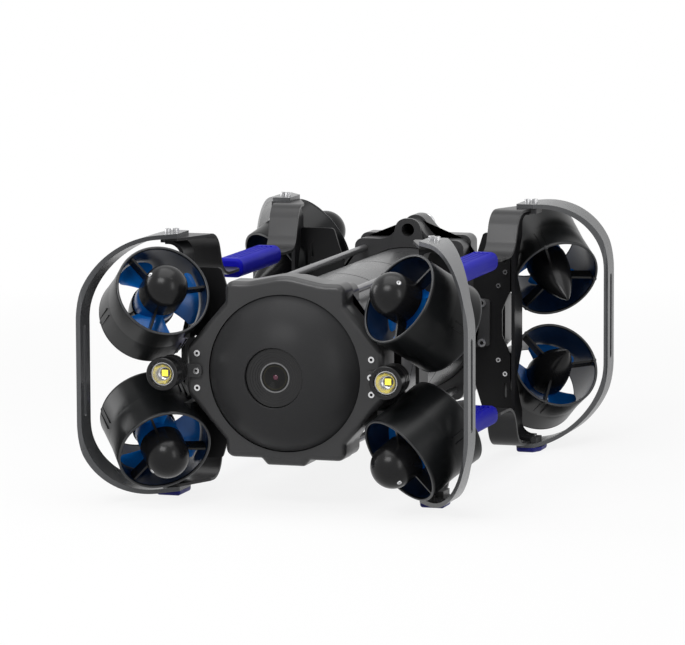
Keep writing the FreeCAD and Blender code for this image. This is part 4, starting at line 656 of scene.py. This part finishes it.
RIM_HALF_HEIGHT = 1.1 * MM
RIM_STEPS = 12
VANE_COUNT = 3
TAIL_VANE_TURN = 64.0
CLIP_OUT = 1.0 * MM
CLIP_S = -101.5 * MM
CLIP = mm([(0.0, 2.6), (2.2, 2.2), (3.1, 0.8), (3.1, -0.8), (2.2, -2.4), (0.0, -2.8)])
THRUSTERS = [key[len("spin_"):] for key in joints if key.startswith("spin_")]


def thruster_place(name):
    """Matrix of one thruster: Z along its axis towards the nose, origin at the nose centre."""
    joint = joints["spin_" + name]
    sides = (1 if "right" in name else -1, 1 if "rear" in name else -1,
             1 if "upper" in name else -1)
    mirror = Matrix.Diagonal(Vector(sides))
    axis = mirror @ Vector(joint["axis"])
    level = Vector((0, 0, 1)).cross(axis).normalized()
    turn = mirror @ Matrix((level, axis.cross(level), axis)).transposed()
    nose = Vector(joint["pos_m"]) - (mirror @ axis) * HUB_S
    return Matrix.Translation(nose) @ turn.to_4x4()


def blade_form(place, start):
    """One wide screw blade: a closed skin, thick along its middle, with rounded tip corners."""
    form = bmesh.new()
    skins = {}
    for face in (1, -1):
        for j in range(BLADE_ALONG + 1):
            out = j / BLADE_ALONG
            radius = BLADE_ROOT_RADIUS + (BLADE_TIP_RADIUS - BLADE_ROOT_RADIUS) * out
            corner = max(0.0, (out - BLADE_CORNER_FROM) / (1.0 - BLADE_CORNER_FROM))
            half = (math.radians(BLADE_HALF_TURN + BLADE_TIP_GAIN * out)
                    * (1.0 - BLADE_CORNER_CUT * corner ** 3))
            for i in range(BLADE_ACROSS + 1):
                chord = 2.0 * i / BLADE_ACROSS - 1.0
                thick = (BLADE_THICKNESS / 2 * math.sqrt(max(0.0, 1.0 - chord ** 4))
                         * (1.0 - BLADE_THINNING * out))
                angle = start + half * chord
                height = HUB_S + BLADE_SPAN / 2 * chord + face * thick
                skins[face, i, j] = form.verts.new(
                    place @ Vector((radius * math.cos(angle), radius * math.sin(angle), height)))
    for face in (1, -1):
        for j in range(BLADE_ALONG):
            for i in range(BLADE_ACROSS):
                form.faces.new((skins[face, i, j], skins[face, i + 1, j],
                                skins[face, i + 1, j + 1], skins[face, i, j + 1]))
    for i in range(BLADE_ACROSS):
        for j in (0, BLADE_ALONG):
            form.faces.new((skins[1, i, j], skins[-1, i, j], skins[-1, i + 1, j],
                            skins[1, i + 1, j]))
    for j in range(BLADE_ALONG):
        for i in (0, BLADE_ACROSS):
            form.faces.new((skins[1, i, j], skins[1, i, j + 1], skins[-1, i, j + 1],
                            skins[-1, i, j]))
    return close_form(form, BLADE_MERGE)


def make_propeller(name):
    """Hub with eased edges and its blades."""
    place = thruster_place(name)
    top, foot = HUB_S + HUB_HALF_LENGTH, HUB_S - HUB_HALF_LENGTH
    eased, step = HUB_RADIUS - HUB_EDGE, HUB_EDGE * HUB_EDGE_STEP
    hub = lathe([(SHAFT_RADIUS, top), (eased, top), (HUB_RADIUS - step, top - step),
                 (HUB_RADIUS, top - HUB_EDGE), (HUB_RADIUS, foot + HUB_EDGE),
                 (HUB_RADIUS - step, foot + step), (eased, foot), (SHAFT_RADIUS, foot)],
                place, sides=64)
    blades = [blade_form(place, 2 * math.pi * k / BLADE_COUNT) for k in range(BLADE_COUNT)]
    add_piece("propeller_" + name + "_finished", join_forms([hub] + blades), [PROPELLER_BLUE],
              "propeller_" + name, sharp=SHARP_CURVED)


def make_bore_liner(name):
    """Thin blue-black liner just inside the duct's bore."""
    outer, inner = BORE_RADIUS - LINER_GAP, BORE_RADIUS - LINER_DEPTH
    form = lathe([(outer, LINER_FRONT), (inner, LINER_FRONT), (inner, LINER_TAIL),
                  (outer, LINER_TAIL)], thruster_place(name))
    add_piece("bore_liner_" + name, form, [DUCT_BLUE_BORE], "duct_" + name, hides=False)


def make_nose_screw(name):
    """Small screw in a ring on the side of the nose."""
    strut = Matrix.Rotation(math.radians(FRONT_STRUT_TURN), 4, "Z")
    tilt = Matrix.Rotation(math.radians(NOSE_SCREW_TILT), 4, "Y")
    spot = thruster_place(name) @ strut @ tilt @ Matrix.Translation((0, 0, NOSE_SCREW_REACH))
    form = join_forms([lathe(NOSE_RING, spot, sides=32), lathe(NOSE_SCREW_HEAD, spot, sides=24)])
    add_piece("nose_screw_" + name, form, [STEEL], "screws", hides=False)


def make_rim_beads(name):
    """Rounded bead round each end of the duct, and a clip where each tail vane meets it."""
    place = thruster_place(name)
    turns = [2 * math.pi * k / RIM_STEPS for k in range(RIM_STEPS)]
    forms = [lathe([(BORE_RADIUS + RIM_OUT + RIM_HALF_WIDTH * math.cos(t),
                     end + RIM_HALF_HEIGHT * math.sin(t)) for t in turns], place, sides=112)
             for end in RIM_ENDS]
    for k in range(VANE_COUNT):
        turn = Matrix.Rotation(math.radians(TAIL_VANE_TURN + 360 / VANE_COUNT * k), 4, "Z")
        spot = place @ turn @ Matrix.Translation((BORE_RADIUS + CLIP_OUT, 0, CLIP_S))
        forms.append(lathe(CLIP, spot, sides=16))
    add_piece("duct_rims_" + name, join_forms(forms), [DUCT_RIM], "duct_" + name,
              sharp=SHARP_BEAD, hides=False)


for thruster in THRUSTERS:
    make_propeller(thruster)
    make_bore_liner(thruster)
    make_nose_screw(thruster)
for thruster in THRUSTERS:
    make_rim_beads(thruster)


# ---- dome, viewing port and camera ---------------------------------------------------------
# Heights run out of the front: 0 is the dome's lip for the dome, and the window for the rest.
DOME_LOW, DOME_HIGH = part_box("dome_shroud")
HOUSING_LOW, HOUSING_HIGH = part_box("main_housing")
AXIS_Z = (HOUSING_LOW[2] + HOUSING_HIGH[2]) / 2
PORT_FRONT_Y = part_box("lens_port")[0][1]
PORT_RADIUS = 39.7 * MM
DOME_WALL = 4.5 * MM
DOME_SIDE = 7.0 * MM
DOME_LIP = PORT_RADIUS + 1.4 * MM
DOME_LIP_EDGE = mm([(-0.5, -0.25), (-0.9, -1.0), (-0.9, -4.5)])
DOME_STEPS = 40
PORT_EDGE = 0.6 * MM
PORT_BACK = -6.6 * MM
PORT_BORE = mm([(20.4, -6.6), (20.4, -2.4)])
PORT_STEPS = mm([(24.0, -1.9), (27.0, -1.4), (30.5, -0.9), (34.0, -0.45), (38.2, 0.0)])
PORT_STEP_SLOPE = 0.3 * MM
LENS_RING_FORM = mm([(18.6, -2.2), (18.9, -2.0), (20.1, -2.0), (20.4, -2.3), (20.4, -5.0),
                     (18.6, -5.0)])
OLIVE_REFLECTION_RING_FORM = mm([(15.4, -3.0), (15.9, -2.9), (15.9, -3.6), (15.4, -3.6)])
BARREL_RADIUS = 18.5 * MM
BARREL_FRONT = -2.4 * MM
BARREL_BACK = -6.8 * MM
BARREL_STEPS = 6
BARREL_STEP_IN = 2.1 * MM
BARREL_STEP_DOWN = 0.6 * MM
BARREL_STEP_EDGE = 0.3 * MM
INNER_LENS_RADIUS = 3.6 * MM
INNER_LENS_RISE = 1.6 * MM
INNER_LENS_LIFT = 0.05 * MM
INNER_LENS_FOOT = 0.02 * MM
INNER_LENS_STEPS = 8


def facing_front(x, y):
    """Matrix with Z out of the front and its origin on the vehicle's middle height."""
    return Matrix.Translation((x, y, AXIS_Z)) @ Matrix.Rotation(math.radians(90), 4, "X")


def make_dome():
    """Bulged shroud: a short straight side, then one full curve up to the lip at the port."""
    radius = (DOME_HIGH[0] - DOME_LOW[0]) / 2
    depth = DOME_HIGH[1] - DOME_LOW[1]
    rise = (depth - DOME_SIDE) / math.sqrt(1 - (DOME_LIP / radius) ** 2)
    turns = [math.acos(DOME_LIP / radius) * k / DOME_STEPS for k in range(DOME_STEPS + 1)]

    def curve(inset):
        return [((radius - inset) * math.cos(t), DOME_SIDE - depth + (rise - inset) * math.sin(t))
                for t in turns]
    lip = [(DOME_LIP + out, height) for out, height in DOME_LIP_EDGE]
    inside = [(r, h) for r, h in reversed(curve(DOME_WALL)) if r > DOME_LIP]
    profile = [(radius, -depth)] + curve(0.0) + lip + inside + [(radius - DOME_WALL, -depth)]
    add_piece("dome_shroud_finished", lathe(profile, facing_front(0, DOME_LOW[1]), sides=160),
              [DOME_BLACK], "dome_shroud", sharp=SHARP_CURVED)


def make_port():
    """Polished window behind the dome's lip, with the stepped baffle rings that show in it."""
    profile = [(PORT_RADIUS - PORT_EDGE, 0.0), (PORT_RADIUS, -PORT_EDGE),
               (PORT_RADIUS, PORT_BACK)] + PORT_BORE
    for radius, height in PORT_STEPS:
        profile += [(radius, profile[-1][1]), (radius + PORT_STEP_SLOPE, height)]
    add_piece("port_window", lathe(profile, facing_front(0, PORT_FRONT_Y), sides=128),
              [PORT_WINDOW], "lens_port", sharp=SHARP_STEPPED)


def make_camera_lens():
    """Bright ring, stepped barrel, small bulged inner lens coloured with a pink painted reflection,
    and a thin ring of painted olive reflection.
    """
    place = facing_front(0, PORT_FRONT_Y)
    add_piece("lens_ring", lathe(LENS_RING_FORM, place), [LENS_RING], "lens_port", hides=False)
    barrel = []
    for k in range(BARREL_STEPS):
        radius = BARREL_RADIUS - BARREL_STEP_IN * k
        height = BARREL_FRONT - BARREL_STEP_DOWN * k
        barrel += [(radius, height), (radius - BARREL_STEP_EDGE, height - BARREL_STEP_EDGE)]
    floor = barrel[-1][1]
    barrel += [(0.0, floor), (0.0, BARREL_BACK), (BARREL_RADIUS, BARREL_BACK)]
    add_piece("lens_barrel", lathe(barrel, place), [LENS_BARREL], "lens_port",
              sharp=SHARP_STEPPED, hides=False)
    turns = [math.pi / 2 * k / INNER_LENS_STEPS for k in range(INNER_LENS_STEPS + 1)]
    bulge = [(INNER_LENS_RADIUS * math.sin(t),
              floor + INNER_LENS_LIFT + INNER_LENS_RISE * math.cos(t)) for t in turns]
    # Small inner lens, coloured with the pink painted reflection of its coating.
    add_piece("inner_lens", lathe(bulge + [(0.0, floor + INNER_LENS_FOOT)], place, sides=64),
              [LENS_PINK_PAINTED_REFLECTION], "lens_port", hides=False)
    # Thin ring of painted olive reflection inside the bright ring.
    add_piece("lens_olive_reflection_ring", lathe(OLIVE_REFLECTION_RING_FORM, place), [LENS_OLIVE_PAINTED_REFLECTION], "lens_port", hides=False)


make_dome()
make_port()
make_camera_lens()


# ---- lights --------------------------------------------------------------------------------
# Heights run out of the front, with 0 at the front of the light's body.
LAMP_LOW, LAMP_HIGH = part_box("light_lenses")
LIGHT_X = LAMP_HIGH[0] - (LAMP_HIGH[2] - LAMP_LOW[2]) / 2
LIGHT_FRONT_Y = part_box("light_bodies")[0][1]
BOWL_FLOOR = -14.5 * MM
BOWL_RIM = -4.0 * MM
BOWL_FLOOR_RADIUS = 5.4 * MM
BOWL_RIM_RADIUS = 14.4 * MM
BOWL_STEPS = 12
BOWL_BACK = mm([(15.2, -4.0), (15.4, -4.4), (15.4, -15.5), (0.0, -15.5)])
LAMP_RING = mm([(14.5, -3.9), (14.5, -3.3), (15.4, -3.3), (15.4, -3.9)])
CHIP_BASE = mm([(0.0, -14.4), (6.6, -14.4), (6.6, -13.5), (0.0, -13.5)])
CHIP_SIDE = 8.6 * MM
CHIP_HEIGHT = 1.4 * MM
CHIP_MIDDLE = -12.8 * MM
CHIP_EDGE = 0.5 * MM


def make_light(side, label):
    """Reflector bowl with its ring, and the lamp chip on a round base."""
    place = facing_front(side * LIGHT_X, LIGHT_FRONT_Y)
    bowl = [(0.0, BOWL_FLOOR)]
    for share in [k / BOWL_STEPS for k in range(BOWL_STEPS + 1)]:
        bowl.append((BOWL_FLOOR_RADIUS + (BOWL_RIM_RADIUS - BOWL_FLOOR_RADIUS) * math.sqrt(share),
                     BOWL_FLOOR + (BOWL_RIM - BOWL_FLOOR) * share))
    form = join_forms([lathe(bowl + BOWL_BACK, place, sides=72), lathe(LAMP_RING, place, sides=72)])
    add_piece("reflector_" + label, form, [MIRROR], "light_reflectors", hides=side > 0)
    add_piece("chip_base_" + label, lathe(CHIP_BASE, place, sides=40), [LIGHT_BLACK],
              "light_bodies", hides=False)
    chip = bmesh.new()
    bmesh.ops.create_cube(chip, size=1.0, matrix=place @ Matrix.Translation((0, 0, CHIP_MIDDLE))
                          @ Matrix.Diagonal((CHIP_SIDE, CHIP_SIDE, CHIP_HEIGHT, 1.0)))
    bmesh.ops.bevel(chip, geom=chip.edges[:], offset=CHIP_EDGE, segments=3, affect="EDGES",
                    profile=0.5)
    bmesh.ops.recalc_face_normals(chip, faces=chip.faces)
    add_piece("lamp_chip_" + label, chip, [LAMP_CHIP], "light_reflectors", hides=False)


make_light(1, "right")
make_light(-1, "left")


# ---- floor and light -----------------------------------------------------------------------
FLOOR_HALF = 60.0
FLOOR_WHITE = (0.8, 0.8, 0.8, 1.0)
WHITE = (1, 1, 1, 1)
FLOOR_NEAR, FLOOR_NEAR_GLOW = 0.7, 0.86
FLOOR_FAR, FLOOR_FAR_GLOW = 2.2, 1.0
ROOM_LIGHT = 0.22
LIGHT_AIM = (0, 0, 0.2)
SOFTBOXES = {
    "overhead softbox": ((0.0, -0.3, 2.4), (2.2, 2.2), 40),
    "front softbox": ((-0.5, -2.6, 2.3), (1.5, 1.1), 46),
    "left softbox": ((-2.6, -0.2, 0.9), (0.7, 1.7), 22),
    "right softbox": ((2.3, -1.9, 0.9), (0.6, 1.7), 14)}


def greatest(tree, *values):
    """The largest of several numbers."""
    most = values[0]
    for value in values[1:]:
        most = node(tree, "Math", {0: most, 1: value}, operation="MAXIMUM").outputs[0]
    return most


def make_floor():
    """Pale floor that keeps the vehicle's shadow and shows as near white, brighter far off."""
    mesh = bpy.data.meshes.new("floor")
    mesh.from_pydata([(x * FLOOR_HALF, y * FLOOR_HALF, 0)
                      for x, y in ((-1, -1), (1, -1), (1, 1), (-1, 1))], [], [(0, 1, 2, 3)])
    floor = new_object("floor", mesh)
    material = bpy.data.materials.new("floor white")
    material.use_nodes = True
    tree = material.node_tree
    tree.nodes.clear()
    matt = node(tree, "BsdfDiffuse", {"Color": FLOOR_WHITE}).outputs[0]
    glow = node(tree, "Emission", {"Color": WHITE, "Strength": 1.0}).outputs[0]
    path = node(tree, "LightPath").outputs
    clear = greatest(tree, path["Is Camera Ray"], path["Is Glossy Ray"],
                     path["Is Transmission Ray"])
    place = node(tree, "TexCoord").outputs["Object"]
    reach = node(tree, "VectorMath", {0: place}, operation="LENGTH").outputs["Value"]
    far = node(tree, "MapRange", {"Value": reach, "From Min": FLOOR_NEAR, "From Max": FLOOR_FAR,
                                  "To Min": FLOOR_NEAR_GLOW, "To Max": FLOOR_FAR_GLOW})
    share = node(tree, "Math", {0: clear, 1: far.outputs[0]}, operation="MULTIPLY").outputs[0]
    both = node(tree, "MixShader", {0: share, 1: matt, 2: glow})
    node(tree, "OutputMaterial", {"Surface": both.outputs[0]})
    mesh.materials.append(material)


def make_world():
    """White surroundings that light the vehicle only a little."""
    world = bpy.data.worlds.new("studio")
    bpy.context.scene.world = world
    world.use_nodes = True
    tree = world.node_tree
    tree.nodes.clear()
    path = node(tree, "LightPath").outputs
    shiny = greatest(tree, path["Is Camera Ray"], path["Is Transmission Ray"],
                     path["Is Glossy Ray"])
    strength = node(tree, "MapRange", {"Value": shiny, "To Min": ROOM_LIGHT, "To Max": 1.0})
    back = node(tree, "Background", {"Color": WHITE, "Strength": strength.outputs[0]})
    node(tree, "OutputWorld", {"Surface": back.outputs[0]})


def add_softbox(name, place, size, power):
    """Rectangular lamp that faces the vehicle."""
    data = bpy.data.lights.new(name, "AREA")
    data.shape = "RECTANGLE"
    data.size, data.size_y = size
    data.energy = power
    away = (Vector(place) - Vector(LIGHT_AIM)).normalized()
    turn = away.to_track_quat("Z", "Y").to_matrix().to_4x4()
    new_object(name, data).matrix_world = Matrix.Translation(place) @ turn


bpy.context.scene.view_settings.view_transform = "Standard"
make_floor()
make_world()
for softbox, (spot, size, power) in SOFTBOXES.items():
    add_softbox(softbox, spot, size, power)
